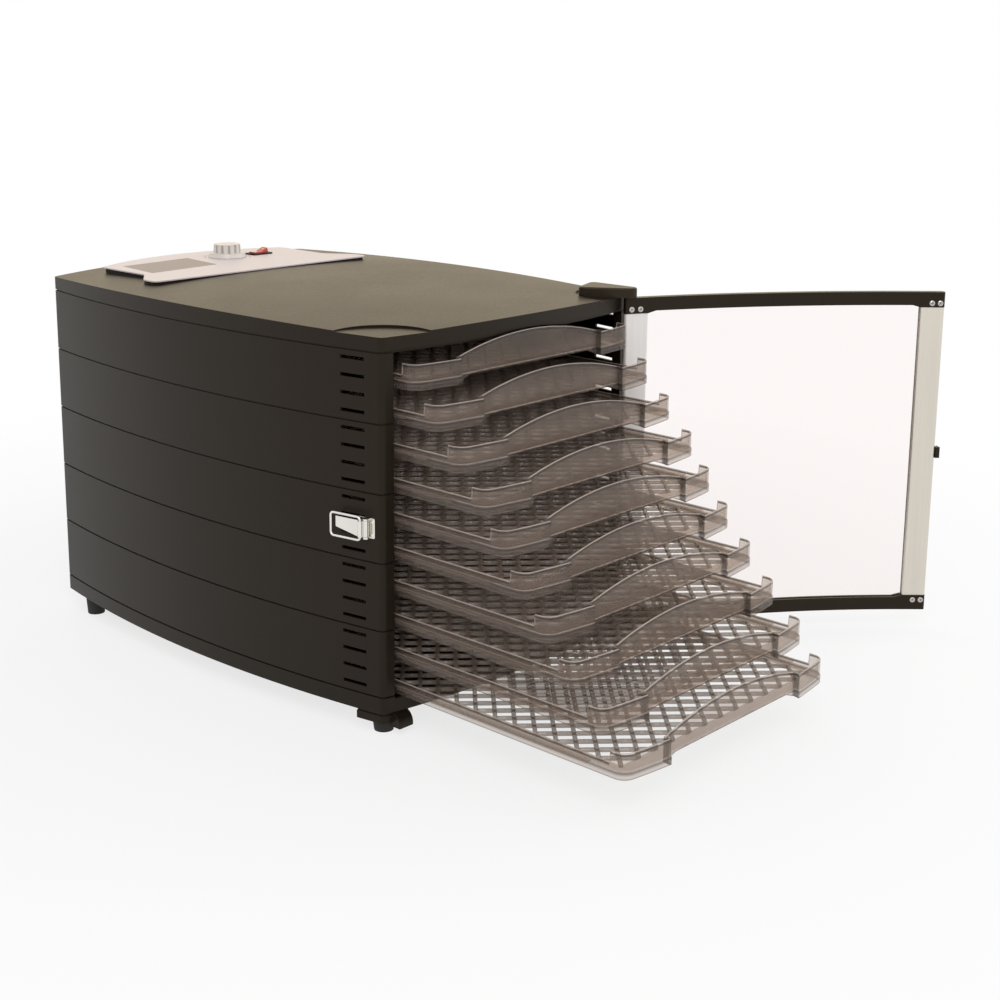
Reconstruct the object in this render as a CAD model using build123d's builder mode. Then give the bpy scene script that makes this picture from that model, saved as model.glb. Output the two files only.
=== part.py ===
from build123d import *

import os
from math import asin, atan2, cos, degrees, radians, sin, sqrt

os.makedirs("parts", exist_ok=True)

# Ten-tray food dehydrator in millimetres. Front faces -Y, the door hinges on the +X side,
# the origin is on the floor below the middle of the cabinet. It is drawn as photographed:
# the door swung wide open and the trays drawn out by a different amount each.

# Cabinet plan: four bowed sides between rounded corners, set round the trays and the air box
TRAY_SIDE_ROOM = 19.0
TRAY_FRONT_GAP = 1.5
TRAY_REAR_ROOM = 6.0
AIRBOX_D = 96.5
SIDE_BOW = 22.0
FRONT_BOW = 15.0
REAR_BOW = 20.0
CORNER_R = 6.0
WALL = 2.8

# Heights of the stack
FOOT_H = 19.5
BASE_H = 14.5
BASE_FLOOR = 3.0
BASE_SILL_GAP = 0.5
BAND_H = 60.0
BAND_COUNT = 5
LID_RIM = 13.6
LID_SKIN = 3.0
LID_CROWN_X = 3.0
LID_CROWN_Y = 3.5
LID_RELIEF_GAP = 0.5

# Shadow gap at the lower edge of the lid and of each band
SEAM_H = 1.6
SEAM_D = 1.2

# Stacking lip on the top edge of the base and of each band
LIP_H = 2.2
LIP_T = 1.6
LIP_ROOT = 5.0
LIP_GAP = 0.35

# Front posts of the bands and the tray runners inside them
POST_W = 11.5
POST_D = 8.0
RUNNER_T = 2.0
RUNNER_Z = 3.0
RUNNER_GAP = 1.5
TRAYS_PER_BAND = 2

# Vent slots
SIDE_SLOT_L = 25.0
SIDE_SLOT_H = 3.0
SIDE_SLOT_IN = 30.0
SIDE_SLOT_Z = 9.0
SIDE_SLOT_COUNT = 4
REAR_SLOT_L = 40.0
REAR_SLOT_H = 5.0
REAR_SLOT_PITCH_X = 52.0
REAR_SLOT_PITCH_Z = 14.0
REAR_SLOT_COLUMNS = 3
REAR_SLOT_ROWS = 3

# Trays
TRAY_W = 284.0
TRAY_D = 372.0
TRAY_BOW = 12.0
TRAY_CORNER_R = 12.0
TRAY_WALL = 2.0
TRAY_SIDE_H = 12.5
TRAY_FRONT_H = 22.0
TRAY_ARCH_H = 35.5
TRAY_RETURN = 15.0
TRAY_FLOOR_Z = 6.0
TRAY_FLOOR_T = 2.0
SCOOP_W = 186.0
SCOOP_CHAMFER = 16.0
SCOOP_SET = 5.0
TRAY_FLANGE_Z = 6.6
TRAY_FLANGE_T = 1.6
TRAY_FLANGE_W = 4.0
TRAY_FLANGE_INSET = 34.0
TRAY_SEAT_GAP = 0.1
LATTICE_COLUMNS = 5
LATTICE_ROWS = 7
LATTICE_BAR = 6.0
LATTICE_BORDER = 7.0
TRAY_PULLS = (20.0, 46.0, 73.0, 100.0, 121.0, 143.0, 169.0, 195.0, 225.0, 248.0)

# Door
DOOR_OPEN = 143.0
DOOR_LAP = 5.0
DOOR_HEEL = 5.0
DOOR_TOP_RAIL_H = 13.0
DOOR_LOW_RAIL_H = 13.0
DOOR_RAIL_T = 8.0
DOOR_TAB_L = 24.0
DOOR_TAB_H = 2.2
DOOR_TAB_RAMP = 8.0
DOOR_PANEL_T = 3.0
DOOR_GROOVE_GAP = 0.15
DOOR_GROOVE_D = 5.0
DOOR_STILE_T = 6.6
DOOR_STILE_LAP = 10.0
DOOR_END_R = 2.5
HINGE_IN = 8.0
HINGE_OUT = 8.5
PIN_R = 2.0
PIN_GRIP = 5.5
PIN_FIT = 0.05
PIN_END_GAP = 0.2
HINGE_THRUST = 0.4

# Hinge cap on the lid and the corner pads
PAD_R = 50.0
CAP_H = 9.5
CAP_LUG_R = 7.0
CAP_ARM_R = 6.0
CAP_LEFT_IN = 33.0
CAP_LEFT_BACK = 25.5
CAP_REAR_IN = 9.0
CAP_REAR_BACK = 34.0
CAP_EDGE_R = 1.6
PIN_UP = 7.5
PIN_DOWN = 8.0

# Front feet with anti-tip toes, rear feet
FRONT_FOOT_H = 11.0
FOOT_R = 10.0
REAR_FOOT_R = 10.0
FOOT_TAPER = 1.5
FRONT_FOOT_IN = 12.0
FRONT_FOOT_BACK = 12.5
REAR_FOOT_IN = 7.0
REAR_FOOT_BACK = 38.0
BRACKET_W = 26.0
BRACKET_D = 28.5
TOE_W = 16.0
TOE_IN = 9.5
TOE_REACH = 10.0
TOE_BASE_Z = 6.5
TOE_TIP_H = 2.0
HINGE_LUG_R = 7.0

# Control housing on the rear of the lid
HOUSING_H = 6.3
HOUSING_IN = 2.0
PLATE_T = 1.2
PLATE_FRONT_W = 276.0
PLATE_REAR_W = 234.0
PLATE_FRONT_IN = 139.5
PLATE_SHOULDER_IN = 120.5
PLATE_NOTCH_IN = 92.5
PLATE_REAR_IN = 20.5
PLATE_REAR_BOW = 31.0
PLATE_R = 7.0
KNOB_X = 24.0
KNOB_IN = 43.5
KNOB_R = 20.0
KNOB_SKIRT_H = 4.5
KNOB_SKIRT_TAPER = 15.0
KNOB_GRIP_R = 14.5
KNOB_GRIP_H = 9.0
KNOB_GRIP_TAPER = 4.0
KNOB_FLUTES = 12
KNOB_FLUTE_R = 2.6
KNOB_FLUTE_D = 1.1
KNOB_GAP = 0.3
SHAFT_R = 3.0
SHAFT_FIT = 0.05
SHAFT_CLEAR = 0.5
SHAFT_GRIP = 6.0
THERMOSTAT_R = 15.0
THERMOSTAT_H = 18.0
SWITCH_X = 63.0
SWITCH_IN = 48.5
SWITCH_L = 25.0
SWITCH_W = 15.0
SWITCH_BEZEL_H = 1.6
SWITCH_RIM = 1.4
SWITCH_WALL = 1.2
SWITCH_DEPTH = 15.0
ROCKER_GAP = 0.4
ROCKER_TILT = 12.0
ROCKER_H = 4.2
ROCKER_DROP = 5.0
TRUNNION_R = 1.2

# Draw latch on the left side
LATCH_UP = 151.0
LATCH_IN = 13.5
LATCH_PLATE_T = 1.6
LATCH_PLATE_L = 18.0
LATCH_PLATE_H = 17.6
LATCH_TAIL = 11.0
LATCH_PIN_R = 1.4
LATCH_PIN_W = 4.6
LATCH_EAR_T = 1.6
LATCH_EAR_R = 2.8
LATCH_FIT = 0.05
LEVER_L = 30.0
LEVER_T = 1.5
LEVER_H = 14.0
LEVER_TIP_H = 9.0
LEVER_CUT = 1.0
LEVER_BARREL_R = 2.6
BAIL_WIRE_R = 1.1
BAIL_PIVOT = 3.5
BAIL_L = 31.0
BAIL_H = 20.2
BAIL_TUBE_R = 2.2
BAIL_BEND_R = 3.0
CATCH_L = 4.5
CATCH_W = 7.0
CATCH_H = 11.0
CATCH_NOTCH = 2.4

# Rear air box: baffle, heater, motor and fan
BAFFLE_T = 3.0
BAFFLE_GAP = 2.2
BAFFLE_SLOT_L = 74.0
BAFFLE_SLOT_H = 12.0
BAFFLE_PITCH_X = 90.0
BAFFLE_PITCH_Z = 30.0
BAFFLE_COLUMNS = 3
BAFFLE_ROWS = 10
FAN_R = 78.0
FAN_HUB_R = 16.0
FAN_HUB_L = 14.0
FAN_START = 18.0
FAN_BLADES = 5
FAN_PITCH = 32.0
FAN_CHORD = 26.0
FAN_BLADE_T = 1.8
MOTOR_R = 30.0
MOTOR_L = 30.0
MOTOR_START = 36.0
MOTOR_SHAFT_R = 3.0
MOTOR_SHAFT_GRIP = 20.0
SPIDER_T = 3.0
SPIDER_ARM_W = 16.0
SPIDER_X = 88.0
SPIDER_Z = 90.0
SPIDER_POST_R = 5.0
HEATER_R = 62.0
HEATER_TUBE_R = 3.3
HEATER_STANDOFF = 8.0
HEATER_GAP_ANGLE = 50.0
HOLDER_W = 14.0
HOLDER_ANGLES = (150.0, 270.0, 30.0)

# Cord bushing in the rear rim of the lid
BUSHING_X = -60.0
BUSHING_R = 4.2
BUSHING_BORE_R = 3.2
BUSHING_FLANGE_R = 5.6
BUSHING_FLANGE_T = 2.0
BUSHING_TAIL = 6.0

# Derived levels and places
CABINET_W = TRAY_W + 2 * TRAY_SIDE_ROOM
CABINET_D = TRAY_FRONT_GAP + TRAY_D + TRAY_REAR_ROOM + BAFFLE_T + AIRBOX_D
HALF_W = CABINET_W / 2
HALF_D = CABINET_D / 2
BASE_Z = FOOT_H
STACK_Z = BASE_Z + BASE_H
LID_Z = STACK_Z + BAND_COUNT * BAND_H
PAD_Z = LID_Z + LID_RIM
HOUSING_Z = PAD_Z + HOUSING_H
PLATE_Z = HOUSING_Z + PLATE_T
OPENING_W = CABINET_W - 2 * POST_W
TRAY_COUNT = BAND_COUNT * TRAYS_PER_BAND
TRAY_PITCH = BAND_H / TRAYS_PER_BAND
TRAY_Z0 = RUNNER_Z + RUNNER_T + TRAY_SEAT_GAP - TRAY_FLANGE_Z
TRAY_IN_Y = -HALF_D + TRAY_FRONT_GAP
BAFFLE_Y = TRAY_IN_Y + TRAY_D + TRAY_REAR_ROOM
FAN_Z = (STACK_Z + LID_Z) / 2
SIDE_SLOT_Y = -HALF_D + SIDE_SLOT_IN
HINGE_X = HALF_W - HINGE_IN
HINGE_Y = -HALF_D - HINGE_OUT
DOOR_Z = BASE_Z + HINGE_THRUST
DOOR_TOP = PAD_Z - HINGE_THRUST
DOOR_REACH = HINGE_X + HALF_W + DOOR_LAP
FRONT_FOOT_X = HALF_W - FRONT_FOOT_IN
FRONT_FOOT_Y = -HALF_D + FRONT_FOOT_BACK
REAR_FOOT_X = HALF_W - REAR_FOOT_IN
REAR_FOOT_Y = HALF_D - REAR_FOOT_BACK
PLATE_FRONT_Y = HALF_D - PLATE_FRONT_IN
PLATE_SHOULDER_Y = HALF_D - PLATE_SHOULDER_IN
PLATE_NOTCH_Y = HALF_D - PLATE_NOTCH_IN
PLATE_REAR_Y = HALF_D - PLATE_REAR_IN
KNOB_Y = HALF_D - KNOB_IN
SWITCH_Y = HALF_D - SWITCH_IN
LATCH_Z = STACK_Z + LATCH_UP
LATCH_Y = -HALF_D + LATCH_IN
REACH = max(CABINET_W, CABINET_D) + SIDE_BOW + FRONT_BOW + REAR_BOW


def bow_radius(half_chord, bow):
    """Radius of the arc that rises by bow over a chord of twice half_chord."""
    return (half_chord**2 + bow**2) / (2 * bow)


def plan(inset=0.0):
    """Cabinet plan drawn in by inset: where four large discs overlap, with rounded corners."""
    front_r = bow_radius(HALF_W, FRONT_BOW)
    rear_r = bow_radius(HALF_W, REAR_BOW)
    side_r = bow_radius(HALF_D, SIDE_BOW)
    with BuildSketch() as sketch:
        with Locations((0, front_r - HALF_D - FRONT_BOW)):
            Circle(front_r - inset)
        with Locations((0, HALF_D + REAR_BOW - rear_r)):
            Circle(rear_r - inset, mode=Mode.INTERSECT)
        with Locations((side_r - HALF_W - SIDE_BOW, 0)):
            Circle(side_r - inset, mode=Mode.INTERSECT)
        with Locations((HALF_W + SIDE_BOW - side_r, 0)):
            Circle(side_r - inset, mode=Mode.INTERSECT)
        if CORNER_R > inset:
            fillet(sketch.vertices(), CORNER_R - inset)
    return sketch.sketch


def finish(part, name):
    """Label one sub-part and write its STEP file."""
    part.label = name
    export_step(part, f"parts/{name}.step")


def lip(part_z):
    """Stacking lip round the inside of a wall whose top edge is at part_z, open at the front."""
    with BuildPart() as ring:
        with BuildSketch(Plane.XY.offset(part_z - LIP_ROOT)):
            add(plan(WALL / 2))
            add(plan(WALL + LIP_GAP + LIP_T), mode=Mode.SUBTRACT)
        extrude(amount=LIP_ROOT)
        with BuildSketch(Plane.XY.offset(part_z)):
            add(plan(WALL + LIP_GAP))
            add(plan(WALL + LIP_GAP + LIP_T), mode=Mode.SUBTRACT)
        extrude(amount=LIP_H)
        with BuildSketch(Plane.XY.offset(part_z - 2 * LIP_ROOT)):
            with Locations((0, -HALF_D - FRONT_BOW)):
                Rectangle(REACH, 2 * (FRONT_BOW + POST_D + LIP_GAP))
        extrude(amount=4 * LIP_ROOT, mode=Mode.SUBTRACT)
    return ring.part


def seam(part_z):
    """Ring cut from the outside of a wall whose lower edge is at part_z, for the shadow gap."""
    with BuildPart() as ring:
        with BuildSketch(Plane.XY.offset(part_z)):
            add(plan(-SEAM_D))
            add(plan(SEAM_D), mode=Mode.SUBTRACT)
        extrude(amount=SEAM_H)
    return ring.part


# Base pan
with BuildPart() as base_pan:
    with BuildSketch(Plane.XY.offset(BASE_Z)):
        add(plan())
    extrude(amount=BASE_H)
    with BuildSketch(Plane.XY.offset(BASE_Z + BASE_FLOOR)):
        add(plan(WALL))
    extrude(amount=BASE_H, mode=Mode.SUBTRACT)
    add(lip(BASE_Z + BASE_H))
    with BuildSketch(Plane.XY.offset(STACK_Z + TRAY_Z0 - BASE_SILL_GAP)):
        with Locations((0, -HALF_D - FRONT_BOW)):
            Rectangle(OPENING_W, 2 * (FRONT_BOW + POST_D))
    extrude(amount=BASE_H, mode=Mode.SUBTRACT)
finish(base_pan.part, "base_pan")

# One band of the stack: side walls, back wall, front posts, runners, slots and lip
with BuildPart() as band:
    with BuildSketch():
        add(plan())
        add(plan(WALL), mode=Mode.SUBTRACT)
        with Locations((-HALF_W, -HALF_D), (HALF_W, -HALF_D)):
            Rectangle(2 * POST_W, 2 * POST_D)
        add(plan(), mode=Mode.INTERSECT)
        with Locations((0, -HALF_D - FRONT_BOW)):
            Rectangle(OPENING_W, 2 * (FRONT_BOW + POST_D), mode=Mode.SUBTRACT)
    extrude(amount=BAND_H)
    add(lip(BAND_H))
    for level in range(TRAYS_PER_BAND):
        with BuildSketch(Plane.XY.offset(RUNNER_Z + level * TRAY_PITCH)):
            runner_y0 = -HALF_D + POST_D / 2
            runner_y1 = BAFFLE_Y - BAFFLE_GAP
            with Locations((0, (runner_y0 + runner_y1) / 2)):
                Rectangle(REACH, runner_y1 - runner_y0)
                Rectangle(TRAY_W + 2 * RUNNER_GAP, 2 * REACH, mode=Mode.SUBTRACT)
            add(plan(WALL / 2), mode=Mode.INTERSECT)
        extrude(amount=RUNNER_T)
    side_x = HALF_W + SIDE_BOW * (1 - (SIDE_SLOT_Y / HALF_D) ** 2)
    for row in range(SIDE_SLOT_COUNT):
        slot_z = SIDE_SLOT_Z + row * BAND_H / SIDE_SLOT_COUNT
        with Locations((-side_x, SIDE_SLOT_Y, slot_z), (side_x, SIDE_SLOT_Y, slot_z)):
            Box(4 * WALL, SIDE_SLOT_L, SIDE_SLOT_H, mode=Mode.SUBTRACT)
    with BuildSketch(Plane.XZ.offset(-HALF_D)):
        with Locations((0, BAND_H / 2)):
            with GridLocations(REAR_SLOT_PITCH_X, REAR_SLOT_PITCH_Z, REAR_SLOT_COLUMNS, REAR_SLOT_ROWS):
                Rectangle(REAR_SLOT_L, REAR_SLOT_H)
    extrude(amount=-2 * REAR_BOW, mode=Mode.SUBTRACT)
    add(seam(0), mode=Mode.SUBTRACT)

for index in range(BAND_COUNT):
    with BuildPart() as band_copy:
        with Locations((0, 0, LID_Z - (index + 1) * BAND_H)):
            add(band.part)
    finish(band_copy.part, f"band_{index + 1}")


def crown(drop):
    """Barrel-shaped solid whose top is the lid's doubly curved surface, lowered by drop."""
    radius_y = bow_radius(HALF_D, LID_CROWN_Y)
    sweep_angle = degrees(asin(REACH / 2 / radius_y))
    axis_z = PAD_Z + LID_CROWN_X + LID_CROWN_Y - radius_y
    radius_x = bow_radius(HALF_W, LID_CROWN_X)
    reach_x = REACH / 2
    fall_x = radius_x - sqrt(radius_x**2 - reach_x**2)
    top = radius_y - drop
    low = radius_y - LID_CROWN_X - LID_CROWN_Y - 3 * LID_RIM
    tilt = radians(sweep_angle)
    start = Plane(origin=(0, 0, axis_z), x_dir=(1, 0, 0), z_dir=(0, -cos(tilt), sin(tilt)))
    with BuildPart() as barrel:
        with BuildSketch(start):
            with BuildLine():
                ThreePointArc((-reach_x, top - fall_x), (0, top), (reach_x, top - fall_x))
                Polyline((reach_x, top - fall_x), (reach_x, low), (-reach_x, low), (-reach_x, top - fall_x))
            make_face()
        revolve(axis=Axis((0, 0, axis_z), (1, 0, 0)), revolution_arc=2 * sweep_angle)
    return barrel.part


def control_plan(inset=0.0):
    """T-shaped plan of the control plate: wide at the front, slanted shoulders, bowed rear."""
    front_x = PLATE_FRONT_W / 2
    rear_x = PLATE_REAR_W / 2
    with BuildSketch() as sketch:
        with BuildLine():
            Polyline(
                (-rear_x, PLATE_REAR_Y),
                (-rear_x, PLATE_NOTCH_Y),
                (-front_x, PLATE_SHOULDER_Y),
                (-front_x, PLATE_FRONT_Y),
                (front_x, PLATE_FRONT_Y),
                (front_x, PLATE_SHOULDER_Y),
                (rear_x, PLATE_NOTCH_Y),
                (rear_x, PLATE_REAR_Y),
            )
            ThreePointArc((rear_x, PLATE_REAR_Y), (0, PLATE_REAR_Y + PLATE_REAR_BOW), (-rear_x, PLATE_REAR_Y))
        make_face()
        fillet(sketch.vertices(), PLATE_R)
        if inset:
            offset(amount=-inset)
    return sketch.sketch


def rear_plane(x, z):
    """Plane on the outside of the rear wall at x and z, facing out."""
    radius = bow_radius(HALF_W, REAR_BOW)
    rise = sqrt(radius**2 - x**2)
    origin = (x, HALF_D + REAR_BOW - radius + rise, z)
    return Plane(origin=origin, x_dir=(-rise, x, 0), z_dir=(x, rise, 0))


def front_panel():
    """Middle of a tray's front, seen from the front: arched top, raised foot, slanted lower corners."""
    end = SCOOP_W / 2
    with BuildSketch() as sketch:
        with BuildLine():
            ThreePointArc((-end, TRAY_FRONT_H), (0, TRAY_ARCH_H), (end, TRAY_FRONT_H))
            Polyline(
                (end, TRAY_FRONT_H),
                (end, 0),
                (end - SCOOP_CHAMFER, TRAY_FLOOR_Z),
                (SCOOP_CHAMFER - end, TRAY_FLOOR_Z),
                (-end, 0),
                (-end, TRAY_FRONT_H),
            )
        make_face()
    return sketch.sketch


# Lid with its crown, corner pads, control housing and the holes in it
housing_root = PAD_Z - LID_SKIN / 3
bushing_plane = rear_plane(BUSHING_X, LID_Z + LID_RIM / 2)
with BuildPart() as lid_hollow:
    with BuildSketch(Plane.XY.offset(LID_Z)):
        add(plan(WALL))
    extrude(amount=LID_RIM + LID_CROWN_X + LID_CROWN_Y)
    add(crown(LID_SKIN), mode=Mode.INTERSECT)

with BuildPart() as top_cover:
    with BuildSketch(Plane.XY.offset(LID_Z)):
        add(plan())
    extrude(amount=LID_RIM + 2 * (LID_CROWN_X + LID_CROWN_Y))
    add(crown(0), mode=Mode.INTERSECT)
    add(lid_hollow.part, mode=Mode.SUBTRACT)
    with BuildSketch(Plane.XY.offset(PAD_Z)):
        with Locations((-HALF_W, -HALF_D), (HALF_W, -HALF_D)):
            Circle(PAD_R)
    extrude(amount=LID_RIM, mode=Mode.SUBTRACT)
    with BuildSketch(Plane.XY.offset(housing_root)):
        add(control_plan(HOUSING_IN))
    extrude(amount=HOUSING_Z - housing_root)
    with BuildSketch(Plane.XY.offset(HOUSING_Z)):
        with Locations((KNOB_X, KNOB_Y)):
            Circle(SHAFT_R + SHAFT_CLEAR)
        with Locations((SWITCH_X, SWITCH_Y)):
            Rectangle(SWITCH_L - 2 * SWITCH_RIM, SWITCH_W - 2 * SWITCH_RIM)
    extrude(amount=-2 * LID_RIM, mode=Mode.SUBTRACT)
    with BuildSketch(bushing_plane):
        Circle(BUSHING_R)
    extrude(amount=-2 * WALL, mode=Mode.SUBTRACT)
    add(seam(LID_Z), mode=Mode.SUBTRACT)
    with BuildSketch(Plane.XZ.offset(HALF_D + 2 * FRONT_BOW)):
        with Locations((0, LID_Z - TRAY_PITCH + TRAY_Z0 + LID_RELIEF_GAP)):
            add(front_panel())
    extrude(amount=-2 * FRONT_BOW, mode=Mode.SUBTRACT)
finish(top_cover.part, "top_cover")

# Control plate, silver, on the housing
with BuildPart() as control_plate:
    with BuildSketch(Plane.XY.offset(HOUSING_Z)):
        add(control_plan())
        with Locations((KNOB_X, KNOB_Y)):
            Circle(SHAFT_R + SHAFT_CLEAR, mode=Mode.SUBTRACT)
        with Locations((SWITCH_X, SWITCH_Y)):
            Rectangle(SWITCH_L - 2 * SWITCH_RIM, SWITCH_W - 2 * SWITCH_RIM, mode=Mode.SUBTRACT)
    extrude(amount=PLATE_T)
finish(control_plate.part, "control_plate")

# Thermostat under the housing, its shaft and the knob
with BuildPart() as thermostat_body:
    with BuildSketch(Plane.XY.offset(housing_root)):
        with Locations((KNOB_X, KNOB_Y)):
            Circle(THERMOSTAT_R)
    extrude(amount=-THERMOSTAT_H)
    with BuildSketch(Plane.XY.offset(housing_root)):
        with Locations((KNOB_X, KNOB_Y)):
            Circle(SHAFT_R + SHAFT_FIT)
    extrude(amount=-THERMOSTAT_H / 2, mode=Mode.SUBTRACT)
finish(thermostat_body.part, "thermostat_body")

knob_z = PLATE_Z + KNOB_GAP
shaft_z = housing_root - THERMOSTAT_H / 2 + KNOB_GAP
with BuildPart() as thermostat_shaft:
    with BuildSketch(Plane.XY.offset(shaft_z)):
        with Locations((KNOB_X, KNOB_Y)):
            Circle(SHAFT_R)
    extrude(amount=knob_z + SHAFT_GRIP - shaft_z)
finish(thermostat_shaft.part, "thermostat_shaft")

knob_plane = Plane(origin=(KNOB_X, KNOB_Y, knob_z), x_dir=(1, 0, 0), z_dir=(0, 0, 1))
with BuildPart() as thermostat_knob:
    with BuildSketch(knob_plane):
        Circle(KNOB_R)
    extrude(amount=KNOB_SKIRT_H, taper=KNOB_SKIRT_TAPER)
    with BuildSketch(knob_plane.offset(KNOB_SKIRT_H)):
        Circle(KNOB_GRIP_R)
    extrude(amount=KNOB_GRIP_H, taper=KNOB_GRIP_TAPER)
    with BuildSketch(knob_plane.offset(KNOB_SKIRT_H)):
        with PolarLocations(KNOB_GRIP_R + KNOB_FLUTE_R - KNOB_FLUTE_D, KNOB_FLUTES):
            Circle(KNOB_FLUTE_R)
    extrude(amount=KNOB_GRIP_H, mode=Mode.SUBTRACT)
    with BuildSketch(knob_plane):
        Circle(SHAFT_R)
    extrude(amount=SHAFT_GRIP, mode=Mode.SUBTRACT)
finish(thermostat_knob.part, "thermostat_knob")

# Power switch: housing with a bezel, and the rocker on its trunnions
pocket_l = SWITCH_L - 2 * (SWITCH_RIM + SWITCH_WALL)
pocket_w = SWITCH_W - 2 * (SWITCH_RIM + SWITCH_WALL)
pivot_z = PLATE_Z + TRUNNION_R / 2
trunnion_plane = Plane(origin=(SWITCH_X, SWITCH_Y, pivot_z), x_dir=(1, 0, 0), z_dir=(0, -1, 0))
with BuildPart() as switch_housing:
    with BuildSketch(Plane.XY.offset(PLATE_Z)):
        with Locations((SWITCH_X, SWITCH_Y)):
            Rectangle(SWITCH_L, SWITCH_W)
    extrude(amount=SWITCH_BEZEL_H)
    with BuildSketch(Plane.XY.offset(PLATE_Z)):
        with Locations((SWITCH_X, SWITCH_Y)):
            Rectangle(SWITCH_L - 2 * SWITCH_RIM, SWITCH_W - 2 * SWITCH_RIM)
    extrude(amount=-SWITCH_DEPTH)
    with BuildSketch(Plane.XY.offset(PLATE_Z + SWITCH_BEZEL_H)):
        with Locations((SWITCH_X, SWITCH_Y)):
            Rectangle(pocket_l, pocket_w)
    extrude(amount=-SWITCH_BEZEL_H - ROCKER_DROP - ROCKER_GAP, mode=Mode.SUBTRACT)
    with BuildSketch(trunnion_plane):
        Circle(TRUNNION_R + SHAFT_FIT)
    extrude(amount=pocket_w / 2 + SWITCH_WALL / 2, both=True, mode=Mode.SUBTRACT)
finish(switch_housing.part, "switch_housing")

rocker_l = pocket_l / 2 - 2 * ROCKER_GAP
rocker_plane = Plane(
    origin=trunnion_plane.origin,
    x_dir=(cos(radians(ROCKER_TILT)), 0, sin(radians(ROCKER_TILT))),
    z_dir=(0, -1, 0),
)
with BuildPart() as power_rocker:
    with BuildSketch(rocker_plane):
        with BuildLine():
            Polyline(
                (-rocker_l, ROCKER_H),
                (0, ROCKER_H / 2),
                (rocker_l, ROCKER_H),
                (rocker_l, 0),
                (0, TRUNNION_R - ROCKER_DROP),
                (-rocker_l, 0),
                close=True,
            )
        make_face()
    extrude(amount=pocket_w / 2 - ROCKER_GAP, both=True)
    with BuildSketch(rocker_plane):
        Circle(TRUNNION_R)
    extrude(amount=pocket_w / 2 + SWITCH_WALL / 4, both=True)
finish(power_rocker.part, "power_rocker")

# Hinge cap on the front right pad: a rounded triangle that reaches out over the hinge axis
with BuildPart() as hinge_cap:
    with BuildSketch(Plane.XY.offset(PAD_Z)):
        with Locations((HINGE_X, HINGE_Y)):
            Circle(CAP_LUG_R)
        with Locations(
            (HALF_W - CAP_LEFT_IN, -HALF_D + CAP_LEFT_BACK),
            (HALF_W - CAP_REAR_IN, -HALF_D + CAP_REAR_BACK),
        ):
            Circle(CAP_ARM_R)
        make_hull()
    extrude(amount=CAP_H)
    fillet(hinge_cap.faces().sort_by(Axis.Z)[-1].edges(), CAP_EDGE_R)
    with BuildSketch(Plane.XY.offset(PAD_Z)):
        with Locations((HINGE_X, HINGE_Y)):
            Circle(PIN_R + PIN_FIT)
    extrude(amount=PIN_UP, mode=Mode.SUBTRACT)
finish(hinge_cap.part, "hinge_cap")

# Front feet: a block under each base corner with a quarter-round toe that stops tipping.
# The right one also carries the lower hinge lug.
toe_top = TOE_BASE_Z + TOE_TIP_H
toe_notch = FRONT_FOOT_Y - FOOT_R - FOOT_TAPER
for side, name in ((-1, "front_bracket_left"), (1, "front_bracket_right")):
    with BuildPart() as bracket:
        with BuildSketch(Plane.XY.offset(FRONT_FOOT_H)):
            with Locations((side * HALF_W, -HALF_D)):
                Rectangle(2 * BRACKET_W, 2 * BRACKET_D)
            add(plan(), mode=Mode.INTERSECT)
        extrude(amount=BASE_Z - FRONT_FOOT_H)
        add(seam(BASE_Z - SEAM_H), mode=Mode.SUBTRACT)
        with BuildSketch(Plane.YZ.offset(side * (HALF_W - TOE_IN - TOE_W / 2))):
            with BuildLine():
                EllipticalCenterArc((-HALF_D, toe_top), TOE_REACH, BASE_Z - toe_top, start_angle=90, arc_size=90)
                Polyline(
                    (-HALF_D - TOE_REACH, toe_top),
                    (-HALF_D - TOE_REACH, TOE_BASE_Z),
                    (toe_notch, TOE_BASE_Z),
                    (toe_notch, FRONT_FOOT_H),
                    (-HALF_D + BRACKET_D / 2, FRONT_FOOT_H),
                    (-HALF_D + BRACKET_D / 2, BASE_Z),
                    (-HALF_D, BASE_Z),
                )
            make_face()
        extrude(amount=TOE_W / 2, both=True)
        if side > 0:
            with BuildSketch(Plane.XY.offset(TOE_BASE_Z)):
                with Locations((HINGE_X, HINGE_Y)):
                    Circle(HINGE_LUG_R)
            extrude(amount=BASE_Z - TOE_BASE_Z)
            with BuildSketch(Plane.XY.offset(BASE_Z)):
                with Locations((HINGE_X, HINGE_Y)):
                    Circle(PIN_R + PIN_FIT)
            extrude(amount=-PIN_DOWN, mode=Mode.SUBTRACT)
    finish(bracket.part, name)

# Rubber feet
for side, hand in ((-1, "left"), (1, "right")):
    with BuildPart() as front_foot:
        with Locations((side * FRONT_FOOT_X, FRONT_FOOT_Y, FRONT_FOOT_H / 2)):
            Cone(FOOT_R - FOOT_TAPER, FOOT_R, FRONT_FOOT_H)
    finish(front_foot.part, f"front_foot_{hand}")
    with BuildPart() as rear_foot:
        with Locations((side * REAR_FOOT_X, REAR_FOOT_Y, FOOT_H / 2)):
            Cone(REAR_FOOT_R - FOOT_TAPER, REAR_FOOT_R, FOOT_H)
    finish(rear_foot.part, f"rear_foot_{hand}")


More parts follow.
